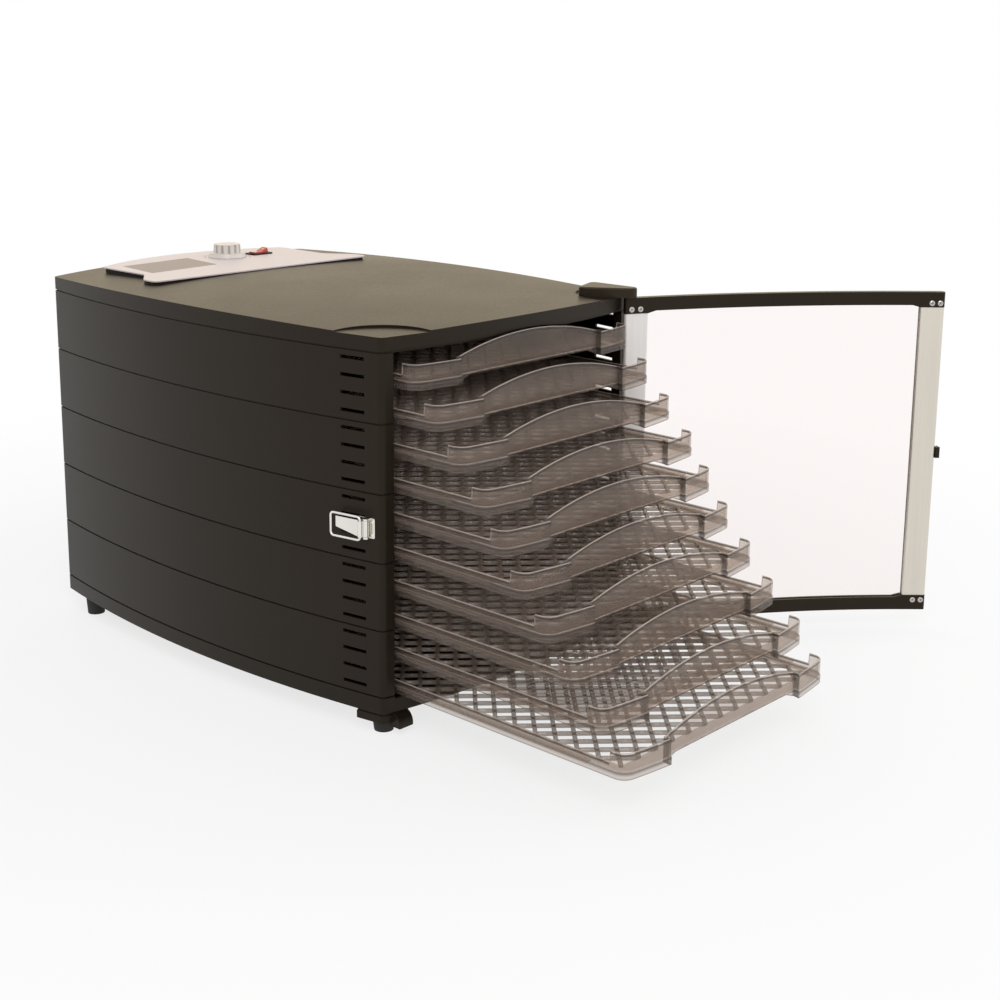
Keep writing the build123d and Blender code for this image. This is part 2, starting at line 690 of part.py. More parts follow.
# Door, drawn on a plane through the hinge axis: x runs from hinge to free edge, y points outwards
door_turn = radians(180 + DOOR_OPEN)
DOOR = Plane(origin=(HINGE_X, HINGE_Y, 0), x_dir=(cos(door_turn), sin(door_turn), 0), z_dir=(0, 0, 1))
PANEL_X0 = -DOOR_HEEL + DOOR_TAB_L - DOOR_STILE_LAP
PANEL_X1 = DOOR_REACH - DOOR_TAB_L + DOOR_STILE_LAP
RAIL_LOW = DOOR_Z + DOOR_LOW_RAIL_H
RAIL_HIGH = DOOR_TOP - DOOR_TOP_RAIL_H
GROOVE_LOW = RAIL_LOW - DOOR_GROOVE_D
GROOVE_HIGH = RAIL_HIGH + DOOR_GROOVE_D
GROOVE_T = DOOR_PANEL_T + 2 * DOOR_GROOVE_GAP


def bow_strip(x0, x1, thickness, end_r=0.0):
    """Plan strip of the bowed door between x0 and x1, centred on the door's arc."""
    half = (DOOR_REACH + DOOR_HEEL) / 2
    radius = bow_radius(half, FRONT_BOW)
    with BuildSketch() as sketch:
        with Locations((half - DOOR_HEEL, FRONT_BOW - radius)):
            Circle(radius + thickness / 2)
            Circle(radius - thickness / 2, mode=Mode.SUBTRACT)
        with Locations(((x0 + x1) / 2, 0)):
            Rectangle(x1 - x0, 4 * FRONT_BOW, mode=Mode.INTERSECT)
        if end_r:
            fillet(sketch.vertices(), end_r)
    return sketch.sketch


# Rails: the panel side of each is cut back between its end tabs, with ramps
for name, edge_z, inner_z, tab_h, groove_d, bore_l in (
    ("door_top_rail", DOOR_TOP, RAIL_HIGH, -DOOR_TAB_H, DOOR_GROOVE_D, -PIN_GRIP),
    ("door_bottom_rail", DOOR_Z, RAIL_LOW, DOOR_TAB_H, -DOOR_GROOVE_D, PIN_GRIP),
):
    with BuildPart() as rail:
        with BuildSketch(DOOR.offset(edge_z)):
            add(bow_strip(-DOOR_HEEL, DOOR_REACH, DOOR_RAIL_T, DOOR_END_R))
        extrude(amount=inner_z + tab_h - edge_z)
        with BuildSketch(Plane(origin=DOOR.origin, x_dir=DOOR.x_dir, z_dir=-DOOR.y_dir)):
            with BuildLine():
                Polyline(
                    (-DOOR_HEEL + DOOR_TAB_L, inner_z + 2 * tab_h),
                    (-DOOR_HEEL + DOOR_TAB_L, inner_z + tab_h),
                    (-DOOR_HEEL + DOOR_TAB_L + DOOR_TAB_RAMP, inner_z),
                    (DOOR_REACH - DOOR_TAB_L - DOOR_TAB_RAMP, inner_z),
                    (DOOR_REACH - DOOR_TAB_L, inner_z + tab_h),
                    (DOOR_REACH - DOOR_TAB_L, inner_z + 2 * tab_h),
                    close=True,
                )
            make_face()
        extrude(amount=4 * FRONT_BOW, both=True, mode=Mode.SUBTRACT)
        with BuildSketch(DOOR.offset(inner_z + 2 * tab_h)):
            add(bow_strip(-DOOR_HEEL + DOOR_END_R, DOOR_REACH - DOOR_END_R, GROOVE_T))
        extrude(amount=groove_d - 2 * tab_h, mode=Mode.SUBTRACT)
        with BuildSketch(DOOR.offset(edge_z)):
            Circle(PIN_R)
        extrude(amount=bore_l, mode=Mode.SUBTRACT)
    finish(rail.part, name)

with BuildPart() as door_panel:
    with BuildSketch(DOOR.offset(GROOVE_LOW)):
        add(bow_strip(PANEL_X0, PANEL_X1, DOOR_PANEL_T))
    extrude(amount=GROOVE_HIGH - DOOR_GROOVE_GAP - GROOVE_LOW)
finish(door_panel.part, "door_panel")

tongue_h = GROOVE_HIGH - DOOR_GROOVE_GAP - GROOVE_LOW
for name, edge, panel_edge, sign in (
    ("door_hinge_stile", -DOOR_HEEL, PANEL_X0, 1),
    ("door_handle_stile", DOOR_REACH, PANEL_X1, -1),
):
    stile_x = sorted((edge, edge + sign * DOOR_TAB_L))
    slot_x = sorted((panel_edge - sign * DOOR_GROOVE_GAP, edge + sign * (DOOR_TAB_L + DOOR_END_R)))
    tongue_x = sorted((edge + sign * (DOOR_END_R + DOOR_GROOVE_GAP), panel_edge - sign * 2 * DOOR_GROOVE_GAP))
    with BuildPart() as stile:
        with BuildSketch(DOOR.offset(RAIL_LOW + DOOR_TAB_H)):
            add(bow_strip(*stile_x, DOOR_STILE_T, DOOR_END_R))
            add(bow_strip(*slot_x, GROOVE_T), mode=Mode.SUBTRACT)
        extrude(amount=RAIL_HIGH - RAIL_LOW - 2 * DOOR_TAB_H)
        with BuildSketch(DOOR.offset(GROOVE_LOW)):
            add(bow_strip(*tongue_x, DOOR_PANEL_T))
        extrude(amount=tongue_h)
    finish(stile.part, name)

with BuildPart() as door_catch:
    with BuildSketch(DOOR.offset(LATCH_Z - CATCH_H / 2)):
        with Locations((DOOR_REACH + CATCH_L / 2, 0)):
            Rectangle(CATCH_L, CATCH_W)
        with Locations((DOOR_REACH + CATCH_L / 2, CATCH_W / 2)):
            Rectangle(CATCH_NOTCH, CATCH_NOTCH, mode=Mode.SUBTRACT)
    extrude(amount=CATCH_H)
finish(door_catch.part, "door_catch")

for name, pin_low, pin_high in (
    ("hinge_pin_upper", DOOR_TOP - PIN_GRIP, PAD_Z + PIN_UP - PIN_END_GAP),
    ("hinge_pin_lower", BASE_Z - PIN_DOWN + PIN_END_GAP, DOOR_Z + PIN_GRIP),
):
    with BuildPart() as pin:
        with BuildSketch(DOOR.offset(pin_low)):
            Circle(PIN_R)
        extrude(amount=pin_high - pin_low)
    finish(pin.part, name)


# Draw latch on the left side, drawn on a plane that touches the bowed wall: x runs forwards,
# y up and z outwards
side_radius = bow_radius(HALF_D, SIDE_BOW)
side_centre = side_radius - HALF_W - SIDE_BOW
side_reach = sqrt(side_radius**2 - LATCH_Y**2)
LATCH = Plane(
    origin=(side_centre - side_reach, LATCH_Y, LATCH_Z),
    x_dir=(-LATCH_Y, -side_reach, 0),
    z_dir=(-side_reach, LATCH_Y, 0),
)
ear_in = LEVER_H / 2 + LATCH_FIT * 4
lever_w = LATCH_PIN_W + LEVER_BARREL_R
bail_w = lever_w + LEVER_T / 2


def latch_section(height):
    """Level plane across the latch at a height above its middle: x forwards, y outwards."""
    return Plane(origin=LATCH.from_local_coords((0, height, 0)), x_dir=LATCH.x_dir, z_dir=(0, 0, -1))


with BuildPart() as latch_base:
    with BuildSketch(LATCH):
        with Locations((LATCH_PLATE_L / 2 - LATCH_TAIL, 0)):
            RectangleRounded(LATCH_PLATE_L, LATCH_PLATE_H, LATCH_EAR_T)
    extrude(amount=LATCH_PLATE_T)
    for top in (ear_in + LATCH_EAR_T, -ear_in):
        with BuildSketch(latch_section(top)):
            with Locations((0, LATCH_PIN_W / 2)):
                Rectangle(2 * LATCH_EAR_R, LATCH_PIN_W)
            with Locations((0, LATCH_PIN_W)):
                Circle(LATCH_EAR_R)
                Circle(LATCH_PIN_R, mode=Mode.SUBTRACT)
        extrude(amount=LATCH_EAR_T)
finish(latch_base.part, "latch_base")

with BuildPart() as latch_pin:
    with BuildSketch(latch_section(ear_in + LATCH_EAR_T)):
        with Locations((0, LATCH_PIN_W)):
            Circle(LATCH_PIN_R)
    extrude(amount=2 * (ear_in + LATCH_EAR_T))
finish(latch_pin.part, "latch_pin")

with BuildPart() as latch_lever:
    with BuildSketch(latch_section(LEVER_H / 2)):
        with Locations((0, LATCH_PIN_W)):
            Circle(LEVER_BARREL_R)
        with Locations((-LEVER_L / 2, lever_w - LEVER_T / 2)):
            Rectangle(LEVER_L, LEVER_T)
    extrude(amount=LEVER_H)
    with BuildSketch(latch_section(LEVER_H / 2)):
        with Locations((-BAIL_PIVOT, bail_w)):
            Circle(BAIL_TUBE_R)
    extrude(amount=LEVER_H)
    with BuildSketch(latch_section(LEVER_H)):
        with Locations((0, LATCH_PIN_W)):
            Circle(LATCH_PIN_R + LATCH_FIT)
        with Locations((-BAIL_PIVOT, bail_w)):
            Circle(BAIL_WIRE_R + LATCH_FIT)
    extrude(amount=2 * LEVER_H, mode=Mode.SUBTRACT)
    with BuildSketch(LATCH.offset(lever_w - 2 * LEVER_T)):
        with BuildLine():
            Polyline(
                (-BAIL_PIVOT - 2 * BAIL_TUBE_R, -LEVER_H / 2),
                (-LEVER_L - LEVER_CUT, LEVER_H / 2 - LEVER_TIP_H),
                (-LEVER_L - LEVER_CUT, -LEVER_H / 2),
                close=True,
            )
        make_face()
    extrude(amount=4 * LEVER_T, mode=Mode.SUBTRACT)
finish(latch_lever.part, "latch_lever")

with BuildPart() as latch_bail:
    with BuildLine(LATCH.offset(bail_w)) as bail_path:
        FilletPolyline(
            (-BAIL_PIVOT, BAIL_H / 2),
            (-BAIL_PIVOT - BAIL_L, BAIL_H / 2),
            (-BAIL_PIVOT - BAIL_L, -BAIL_H / 2),
            (-BAIL_PIVOT, -BAIL_H / 2),
            radius=BAIL_BEND_R,
            close=True,
        )
    with BuildSketch(Plane(origin=bail_path.line @ 0, z_dir=bail_path.line % 0)):
        Circle(BAIL_WIRE_R)
    sweep(path=bail_path.line)
finish(latch_bail.part, "latch_bail")


# Rear air box: slotted baffle between the trays and the fan
baffle_x = HALF_W + SIDE_BOW * (1 - (BAFFLE_Y / HALF_D) ** 2) - WALL - LIP_GAP - LIP_T - BAFFLE_GAP
baffle_z0 = BASE_Z + BASE_FLOOR
baffle_z1 = PAD_Z - LID_SKIN
BAFFLE_BACK = BAFFLE_Y + BAFFLE_T
with BuildPart() as rear_baffle:
    with BuildSketch(Plane.XZ.offset(-BAFFLE_BACK)):
        with Locations((0, (baffle_z0 + baffle_z1) / 2)):
            Rectangle(2 * baffle_x, baffle_z1 - baffle_z0)
        with Locations((0, FAN_Z)):
            with GridLocations(BAFFLE_PITCH_X, BAFFLE_PITCH_Z, BAFFLE_COLUMNS, BAFFLE_ROWS):
                Rectangle(BAFFLE_SLOT_L, BAFFLE_SLOT_H, mode=Mode.SUBTRACT)
    extrude(amount=BAFFLE_T)
finish(rear_baffle.part, "rear_baffle")

# Motor on a spider that stands on the baffle
SPIDER_Y = BAFFLE_BACK + MOTOR_START + MOTOR_L + SPIDER_T
arm_l = 2 * sqrt(SPIDER_X**2 + SPIDER_Z**2)
arm_turn = degrees(atan2(SPIDER_Z, SPIDER_X))
with BuildPart() as motor_spider:
    with BuildSketch(Plane.XZ.offset(-SPIDER_Y)):
        with Locations((0, FAN_Z)):
            Rectangle(arm_l, SPIDER_ARM_W, rotation=arm_turn)
            Rectangle(arm_l, SPIDER_ARM_W, rotation=-arm_turn)
            Circle(MOTOR_R)
    extrude(amount=SPIDER_T)
    with BuildSketch(Plane.XZ.offset(-SPIDER_Y)):
        with Locations((0, FAN_Z)):
            with GridLocations(2 * SPIDER_X, 2 * SPIDER_Z, 2, 2):
                Circle(SPIDER_POST_R)
    extrude(amount=SPIDER_Y - BAFFLE_BACK)
finish(motor_spider.part, "motor_spider")

with BuildPart() as fan_motor:
    with BuildSketch(Plane.XZ.offset(-SPIDER_Y + SPIDER_T)):
        with Locations((0, FAN_Z)):
            Circle(MOTOR_R)
    extrude(amount=MOTOR_L)
    with BuildSketch(Plane.XZ.offset(-BAFFLE_BACK - MOTOR_START)):
        with Locations((0, FAN_Z)):
            Circle(MOTOR_SHAFT_R + SHAFT_FIT)
    extrude(amount=-MOTOR_SHAFT_GRIP - KNOB_GAP, mode=Mode.SUBTRACT)
finish(fan_motor.part, "fan_motor")

FAN_Y = BAFFLE_BACK + FAN_START
with BuildPart() as fan_shaft:
    with BuildSketch(Plane.XZ.offset(-FAN_Y)):
        with Locations((0, FAN_Z)):
            Circle(MOTOR_SHAFT_R)
    extrude(amount=-(BAFFLE_BACK + MOTOR_START + MOTOR_SHAFT_GRIP - FAN_Y))
finish(fan_shaft.part, "fan_shaft")

with BuildPart() as fan_rotor:
    with BuildSketch(Plane.XZ.offset(-FAN_Y)):
        with Locations((0, FAN_Z)):
            Circle(FAN_HUB_R)
            Circle(MOTOR_SHAFT_R, mode=Mode.SUBTRACT)
    extrude(amount=-FAN_HUB_L)
    for blade in range(FAN_BLADES):
        turn = radians(360 * blade / FAN_BLADES)
        radial = Vector(cos(turn), 0, sin(turn))
        tangent = Vector(-sin(turn), 0, cos(turn))
        pitch = radians(FAN_PITCH)
        root = Vector(0, FAN_Y + FAN_HUB_L / 2, FAN_Z) + radial * (FAN_HUB_R - FAN_BLADE_T)
        chord = tangent * cos(pitch) + Vector(0, 1, 0) * sin(pitch)
        with BuildSketch(Plane(origin=root, x_dir=chord, z_dir=radial)):
            Rectangle(FAN_CHORD, FAN_BLADE_T)
        extrude(amount=FAN_R - FAN_HUB_R + FAN_BLADE_T)
finish(fan_rotor.part, "fan_rotor")

# Tubular heater ring and its holders on the baffle
heater_plane = Plane(origin=(0, BAFFLE_BACK + HEATER_STANDOFF, FAN_Z), x_dir=(1, 0, 0), z_dir=(0, -1, 0))
heater_start = 90 + HEATER_GAP_ANGLE / 2
heater_sweep = 360 - HEATER_GAP_ANGLE


def heater_tube(radius):
    """Open ring of round tube round the fan axis."""
    with BuildPart() as tube:
        with BuildLine(heater_plane) as ring:
            CenterArc((0, 0), HEATER_R, heater_start, heater_sweep)
        with BuildSketch(Plane(origin=ring.line @ 0, z_dir=ring.line % 0)):
            Circle(radius)
        sweep(path=ring.line)
    return tube.part


finish(heater_tube(HEATER_TUBE_R), "heater_element")
for index, holder_angle in enumerate(HOLDER_ANGLES):
    holder_x = HEATER_R * cos(radians(holder_angle))
    holder_z = FAN_Z + HEATER_R * sin(radians(holder_angle))
    with BuildPart() as holder:
        with BuildSketch(Plane.XZ.offset(-BAFFLE_BACK)):
            with Locations((holder_x, holder_z)):
                Rectangle(HOLDER_W, HOLDER_W)
        extrude(amount=-HEATER_STANDOFF)
        add(heater_tube(HEATER_TUBE_R + SHAFT_FIT), mode=Mode.SUBTRACT)
    finish(holder.part, f"heater_holder_{index + 1}")

# Cord bushing, open for a mains lead
with BuildPart() as cord_bushing:
    with BuildSketch(bushing_plane):
        Circle(BUSHING_FLANGE_R)
    extrude(amount=BUSHING_FLANGE_T)
    with BuildSketch(bushing_plane):
        Circle(BUSHING_R)
    extrude(amount=BUSHING_TAIL)
    with BuildSketch(bushing_plane):
        Circle(BUSHING_R)
    extrude(amount=-WALL)
    with BuildSketch(bushing_plane):
        Circle(BUSHING_BORE_R)
    extrude(amount=2 * BUSHING_TAIL, both=True, mode=Mode.SUBTRACT)
finish(cord_bushing.part, "cord_bushing")


# Trays, drawn with the front corners on y = 0 and the rest behind
def tray_plan(inset=0.0):
    """Plan of a tray drawn in by inset: straight sides and back, bowed front, rounded corners."""
    half = TRAY_W / 2
    front_r = bow_radius(half, TRAY_BOW)
    with BuildSketch() as sketch:
        with Locations((0, front_r - TRAY_BOW)):
            Circle(front_r - inset)
        with Locations((0, TRAY_D / 2 - TRAY_BOW)):
            Rectangle(TRAY_W - 2 * inset, TRAY_D + 2 * TRAY_BOW - 2 * inset, mode=Mode.INTERSECT)
        if TRAY_CORNER_R > inset:
            fillet(sketch.vertices(), TRAY_CORNER_R - inset)
    return sketch.sketch


def tray_ring(height, front_only):
    """Upright wall of a tray, all round or only over the front and its short returns."""
    with BuildPart() as ring:
        with BuildSketch():
            add(tray_plan())
            add(tray_plan(TRAY_WALL), mode=Mode.SUBTRACT)
            if front_only:
                with Locations((0, -TRAY_BOW)):
                    Rectangle(2 * TRAY_W, 2 * (TRAY_BOW + TRAY_RETURN), mode=Mode.INTERSECT)
        extrude(amount=height)
    return ring.part


floor_d = TRAY_D - 2 * LATTICE_BORDER - TRAY_RETURN / 2
cell_x = (TRAY_W - 2 * LATTICE_BORDER) / LATTICE_COLUMNS
cell_y = floor_d / LATTICE_ROWS
front_radius = bow_radius(TRAY_W / 2, TRAY_BOW)
crease_y = front_radius - TRAY_BOW - sqrt(front_radius**2 - (SCOOP_W / 2) ** 2)
panel_y = crease_y + SCOOP_SET
with BuildPart() as tray:
    add(tray_ring(TRAY_SIDE_H, False))
    add(tray_ring(TRAY_FRONT_H, True))
    with BuildSketch(Plane.XY.offset(TRAY_FLOOR_Z)):
        add(tray_plan(TRAY_WALL / 2))
        with Locations((0, TRAY_D - LATTICE_BORDER - floor_d / 2)):
            with GridLocations(cell_x, cell_y, LATTICE_COLUMNS, LATTICE_ROWS):
                Rectangle(cell_x - LATTICE_BAR, cell_y - LATTICE_BAR, mode=Mode.SUBTRACT)
    extrude(amount=TRAY_FLOOR_T)
    with BuildSketch(Plane.XY.offset(TRAY_FLANGE_Z)):
        flange_d = TRAY_D - 2 * TRAY_FLANGE_INSET
        flange_x = (TRAY_W - TRAY_WALL + TRAY_FLANGE_W) / 2
        with Locations((-flange_x, TRAY_D / 2), (flange_x, TRAY_D / 2)):
            Rectangle(TRAY_WALL + TRAY_FLANGE_W - TRAY_WALL / 2, flange_d)
    extrude(amount=TRAY_FLANGE_T)
    with BuildSketch():
        with Locations((0, panel_y - TRAY_BOW)):
            Rectangle(SCOOP_W, 2 * TRAY_BOW)
    extrude(amount=TRAY_ARCH_H, mode=Mode.SUBTRACT)
    with BuildSketch():
        with Locations((0, (crease_y + panel_y + TRAY_WALL) / 2)):
            Rectangle(SCOOP_W, SCOOP_SET + TRAY_WALL)
            Rectangle(SCOOP_W - 2 * TRAY_WALL, SCOOP_SET + 2 * TRAY_WALL, mode=Mode.SUBTRACT)
    extrude(amount=TRAY_FRONT_H)
    with BuildSketch(Plane.XZ.offset(-panel_y)):
        add(front_panel())
    extrude(amount=-TRAY_WALL)

for index in range(TRAY_COUNT):
    tray_z = LID_Z - (index + 1) * TRAY_PITCH + TRAY_Z0
    with BuildPart() as tray_copy:
        with Locations((0, TRAY_IN_Y - TRAY_PULLS[index], tray_z)):
            add(tray.part)
    finish(tray_copy.part, f"tray_{index + 1}")
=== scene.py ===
from math import atan2, cos, pi, radians, sqrt

import bmesh
import bpy
import numpy as np
from bpy.props import (
    FloatProperty,
    FloatVectorProperty,
    IntProperty,
    PointerProperty,
)
from mathutils import Euler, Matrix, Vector


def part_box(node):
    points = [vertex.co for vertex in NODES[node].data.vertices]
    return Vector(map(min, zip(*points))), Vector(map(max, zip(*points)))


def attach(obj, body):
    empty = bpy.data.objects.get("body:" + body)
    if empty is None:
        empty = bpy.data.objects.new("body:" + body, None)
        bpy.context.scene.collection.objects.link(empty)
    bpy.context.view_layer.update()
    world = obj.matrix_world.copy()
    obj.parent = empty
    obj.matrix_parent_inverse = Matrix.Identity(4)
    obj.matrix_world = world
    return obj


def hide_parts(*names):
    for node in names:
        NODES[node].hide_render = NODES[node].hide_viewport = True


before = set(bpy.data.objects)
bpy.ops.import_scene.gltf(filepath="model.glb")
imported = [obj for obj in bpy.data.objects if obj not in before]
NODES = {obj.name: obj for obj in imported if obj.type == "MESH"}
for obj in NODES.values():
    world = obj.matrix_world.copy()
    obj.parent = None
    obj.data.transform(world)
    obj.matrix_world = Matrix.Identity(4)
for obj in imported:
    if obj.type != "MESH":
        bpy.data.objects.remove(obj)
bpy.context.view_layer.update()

bl_info = {
    "name": "Food dehydrator dressing",
    "version": (1, 0, 0),
    "blender": (4, 5, 0),
    "location": "View3D > Sidebar > Dehydrator",
    "description": "Trays, door trim, latch, controls and finishes of a ten-tray food dehydrator",
    "category": "Object",
}

UP = np.array([0.0, 0.0, 1.0])


# Shader maths


class Tap:
    """An output socket. Arithmetic on it adds Math nodes and gives another Tap."""

    def __init__(self, graph, socket):
        self.graph = graph
        self.socket = socket

    def math(self, operation, *others):
        sockets = dict(enumerate((self, *others)))
        return self.graph.node("ShaderNodeMath", {"operation": operation}, sockets)

    def __add__(self, other):
        return self.math("ADD", other)

    def __radd__(self, other):
        return self.math("ADD", other)

    def __sub__(self, other):
        return self.math("SUBTRACT", other)

    def __rsub__(self, other):
        return self.graph.node("ShaderNodeMath", {"operation": "SUBTRACT"}, {0: other, 1: self})

    def __mul__(self, other):
        return self.math("MULTIPLY", other)

    def __rmul__(self, other):
        return self.math("MULTIPLY", other)

    def __truediv__(self, other):
        return self.math("DIVIDE", other)

    def __pow__(self, other):
        return self.math("POWER", other)

    def __abs__(self):
        return self.math("ABSOLUTE")

    def either(self, other):
        return self.math("MAXIMUM", other)

    def above(self, edge, soft):
        """0 below edge - soft, 1 above edge + soft, and a ramp between."""
        ramp = (self - (edge - soft)) / (2 * soft)
        return ramp.math("MAXIMUM", 0.0).math("MINIMUM", 1.0)

    def below(self, edge, soft):
        return 1 - self.above(edge, soft)

    def within(self, low, high, soft):
        return self.above(low, soft) * self.below(high, soft)


class Graph:
    """A node tree, with one method that makes nodes and the short forms built on it."""

    def __init__(self, tree):
        self.tree = tree

    def node(self, kind, settings=None, sockets=None, out=0):
        """Adds a node of a kind: settings first, then the values or links of its sockets."""
        made = self.tree.nodes.new(kind)
        for key, value in (settings or {}).items():
            setattr(made, key, value)
        for key, value in (sockets or {}).items():
            self.feed(made.inputs[key], value)
        return Tap(self, made.outputs[out])

    def feed(self, socket, value):
        if isinstance(value, Tap):
            self.tree.links.new(value.socket, socket)
        else:
            socket.default_value = value

    def seen(self):
        """1 for rays from the camera, from a gloss or through a clear piece, else 0."""
        rays = ("Is Camera Ray", "Is Glossy Ray", "Is Transmission Ray")
        camera, glossy, through = [self.node("ShaderNodeLightPath", out=ray) for ray in rays]
        return camera.either(glossy).either(through)


class Paint(Graph):
    """A material under construction: a Principled shader and the nodes that feed it."""

    def __init__(self, name, **constants):
        self.material = bpy.data.materials.new(name)
        self.material.use_nodes = True
        super().__init__(self.material.node_tree)
        self.shader = self.tree.nodes["Principled BSDF"]
        self.set(**constants)

    def set(self, **sockets):
        for key, value in sockets.items():
            self.feed(self.shader.inputs[key.replace("_", " ")], value)
        return self

    def surface(self, tap):
        self.feed(self.tree.nodes["Material Output"].inputs["Surface"], tap)
        return self

    def body(self):
        return Tap(self, self.shader.outputs[0])

    def place(self):
        """Object coordinates, which are metres in the shared frame."""
        return self.node("ShaderNodeTexCoord", out="Object")

    def axes(self):
        return [self.node("ShaderNodeSeparateXYZ", None, {0: self.place()}, axis) for axis in "XYZ"]

    def stretched(self, scale):
        return self.node("ShaderNodeMapping", None, {"Vector": self.place(), "Scale": scale})

    def noise(self, scale, detail=3.0, rough=0.5, vector=None):
        sockets = {"Scale": scale, "Detail": detail, "Roughness": rough}
        sockets["Vector"] = vector or self.place()
        return self.node("ShaderNodeTexNoise", None, sockets, "Fac")

    def cells(self, scale):
        sockets = {"Scale": scale, "Vector": self.place()}
        return self.node("ShaderNodeTexVoronoi", None, sockets, "Distance")

    def mix(self, factor, low, high):
        """Colour between low and high by factor."""
        sockets = {"Factor": factor, 6: colour4(low), 7: colour4(high)}
        return self.node("ShaderNodeMix", {"data_type": "RGBA"}, sockets, 2)

    def bump(self, height, strength, distance, normal=None):
        sockets = {"Strength": strength, "Distance": distance, "Height": height}
        if normal:
            sockets["Normal"] = normal
        return self.node("ShaderNodeBump", None, sockets)

    def attribute(self, name):
        return self.node("ShaderNodeAttribute", {"attribute_name": name}, None, "Fac")

    def rounded(self, radius):
        """Normal that rounds off the look of sharp edges."""
        return self.node("ShaderNodeBevel", {"samples": 4}, {"Radius": radius})

    def edge_on(self):
        """0 where the surface is seen square on, 1 where it is seen edge on."""
        return self.node("ShaderNodeLayerWeight", None, {"Blend": 0.5}, "Facing")

    def see_through(self, factor, tint):
        """Shows what is behind, tinted, where factor is 0, and the surface itself where it is 1."""
        clear = self.node("ShaderNodeBsdfTransparent", None, {"Color": colour4(tint)})
        sockets = {0: factor, 1: clear, 2: self.body()}
        return self.surface(self.node("ShaderNodeMixShader", None, sockets))


def colour4(colour):
    return colour if isinstance(colour, Tap) else (*colour[:3], 1.0)


def shade(colour, factor):
    return tuple(min(1.0, channel * factor) for channel in colour[:3])


# Meshes


def sheet_faces(rows, columns, close_rows=False, close_columns=False):
    """Quads of a rows x columns grid of points, joined end to end where it closes."""
    r = np.arange(rows if close_rows else rows - 1)
    c = np.arange(columns if close_columns else columns - 1)
    r, c = [a.ravel() for a in np.meshgrid(r, c, indexing="ij")]
    r1 = (r + 1) % rows
    c1 = (c + 1) % columns
    return np.stack([r * columns + c, r * columns + c1, r1 * columns + c1, r1 * columns + c], 1)


def copies(points, faces, count):
    """Faces of count copies of a shape whose points follow each other."""
    step = np.arange(count)[:, None, None] * points
    return (faces[None] + step).reshape(-1, faces.shape[1])


def join(*shapes):
    """One points array and one quad array from several shapes."""
    starts = np.cumsum([0] + [len(points) for points, _ in shapes])
    points = np.concatenate([points for points, _ in shapes])
    faces = np.concatenate([np.asarray(faces) + start for (_, faces), start in zip(shapes, starts)])
    return points, faces


def make(name, shapes, paint, body, sharp=32.0, merge=1e-6, stands_for=(), edge=None):
    """A mesh object from points in metres, its faces turned outwards, riding on a body."""
    points, faces = join(*shapes)
    mesh = bpy.data.meshes.new(name)
    mesh.from_pydata(points.tolist(), [], faces.tolist())
    # The edge attribute carries painted highlight and painted shade values to the material.
    if edge is not None:
        mesh.attributes.new("edge", "FLOAT", "POINT").data.foreach_set("value", edge)
    work = bmesh.new()
    work.from_mesh(mesh)
    bmesh.ops.remove_doubles(work, verts=work.verts, dist=merge)
    bmesh.ops.dissolve_degenerate(work, edges=work.edges, dist=merge)
    bmesh.ops.recalc_face_normals(work, faces=work.faces)
    work.to_mesh(mesh)
    work.free()
    mesh.polygons.foreach_set("use_smooth", np.ones(len(mesh.polygons), bool))
    mesh.set_sharp_from_angle(angle=radians(sharp))
    mesh.materials.append(paint.material)
    piece = bpy.data.objects.new(name, mesh)
    bpy.context.scene.collection.objects.link(piece)
    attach(piece, body)
    if stands_for:
        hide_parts(*stands_for)
    return piece


def coat(paint, *names):
    """Gives CAD nodes a material in place of their own."""
    for name in names:
        mesh = NODES[name].data
        mesh.materials.clear()
        mesh.materials.append(paint.material)


def named(part):
    return sorted(name for name in NODES if part in name)


def screw_head(radius, height, origin, axis, side):
    """Domed head with a cross recess on a polar grid of six rings and sixteen spokes.

    A ring at share s of the radius stands at height sqrt(1 - 0.7 s^2), and the four spokes of the
    cross drop to under half of that on the rings inside 0.6 of the radius. The last ring is the base.
    """
    share = np.array([0.08, 0.36, 0.56, 0.68, 1.0, 1.0])
    turn = np.arange(16) * pi / 8
    dome = np.sqrt(1 - 0.7 * share**2)
    dome[-1] = 0.0
    cross = (np.arange(16) % 4 == 0)[None] & (share < 0.6)[:, None]
    lift = height * dome[:, None] * np.where(cross, 0.4, 1.0)
    lift[0] = height * 0.4
    across = np.cross(axis, side)
    around = np.cos(turn)[:, None] * side + np.sin(turn)[:, None] * across
    points = origin + radius * share[:, None, None] * around[None] + lift[:, :, None] * axis
    return points.reshape(-1, 3), sheet_faces(6, 16, False, True)


def slab(low, high):
    """Box between two corners."""
    low, high = np.asarray(low, float), np.asarray(high, float)
    x, y, z = [a.ravel() for a in np.meshgrid((0, 1), (0, 1), (0, 1), indexing="ij")]
    points = low + np.stack([x, y, z], 1) * (high - low)
    faces = [[0, 1, 3, 2], [4, 6, 7, 5], [0, 4, 5, 1], [2, 3, 7, 6], [0, 2, 6, 4], [1, 5, 7, 3]]
    return points, np.array(faces)


# Settings


class CabinetLook(bpy.types.PropertyGroup):
    """Finish of the black mouldings."""

    black: FloatVectorProperty(
        name="Black", description="Colour of the mouldings", subtype="COLOR",
        default=(0.0115, 0.0082, 0.0056), min=0, max=1,
    )
    gloss: FloatProperty(
        name="Roughness", description="Roughness of the satin surface", default=0.34, min=0, max=1,
    )
    grain: FloatProperty(
        name="Grain", description="Size of the moulded grain", unit="LENGTH", default=0.0011,
    )


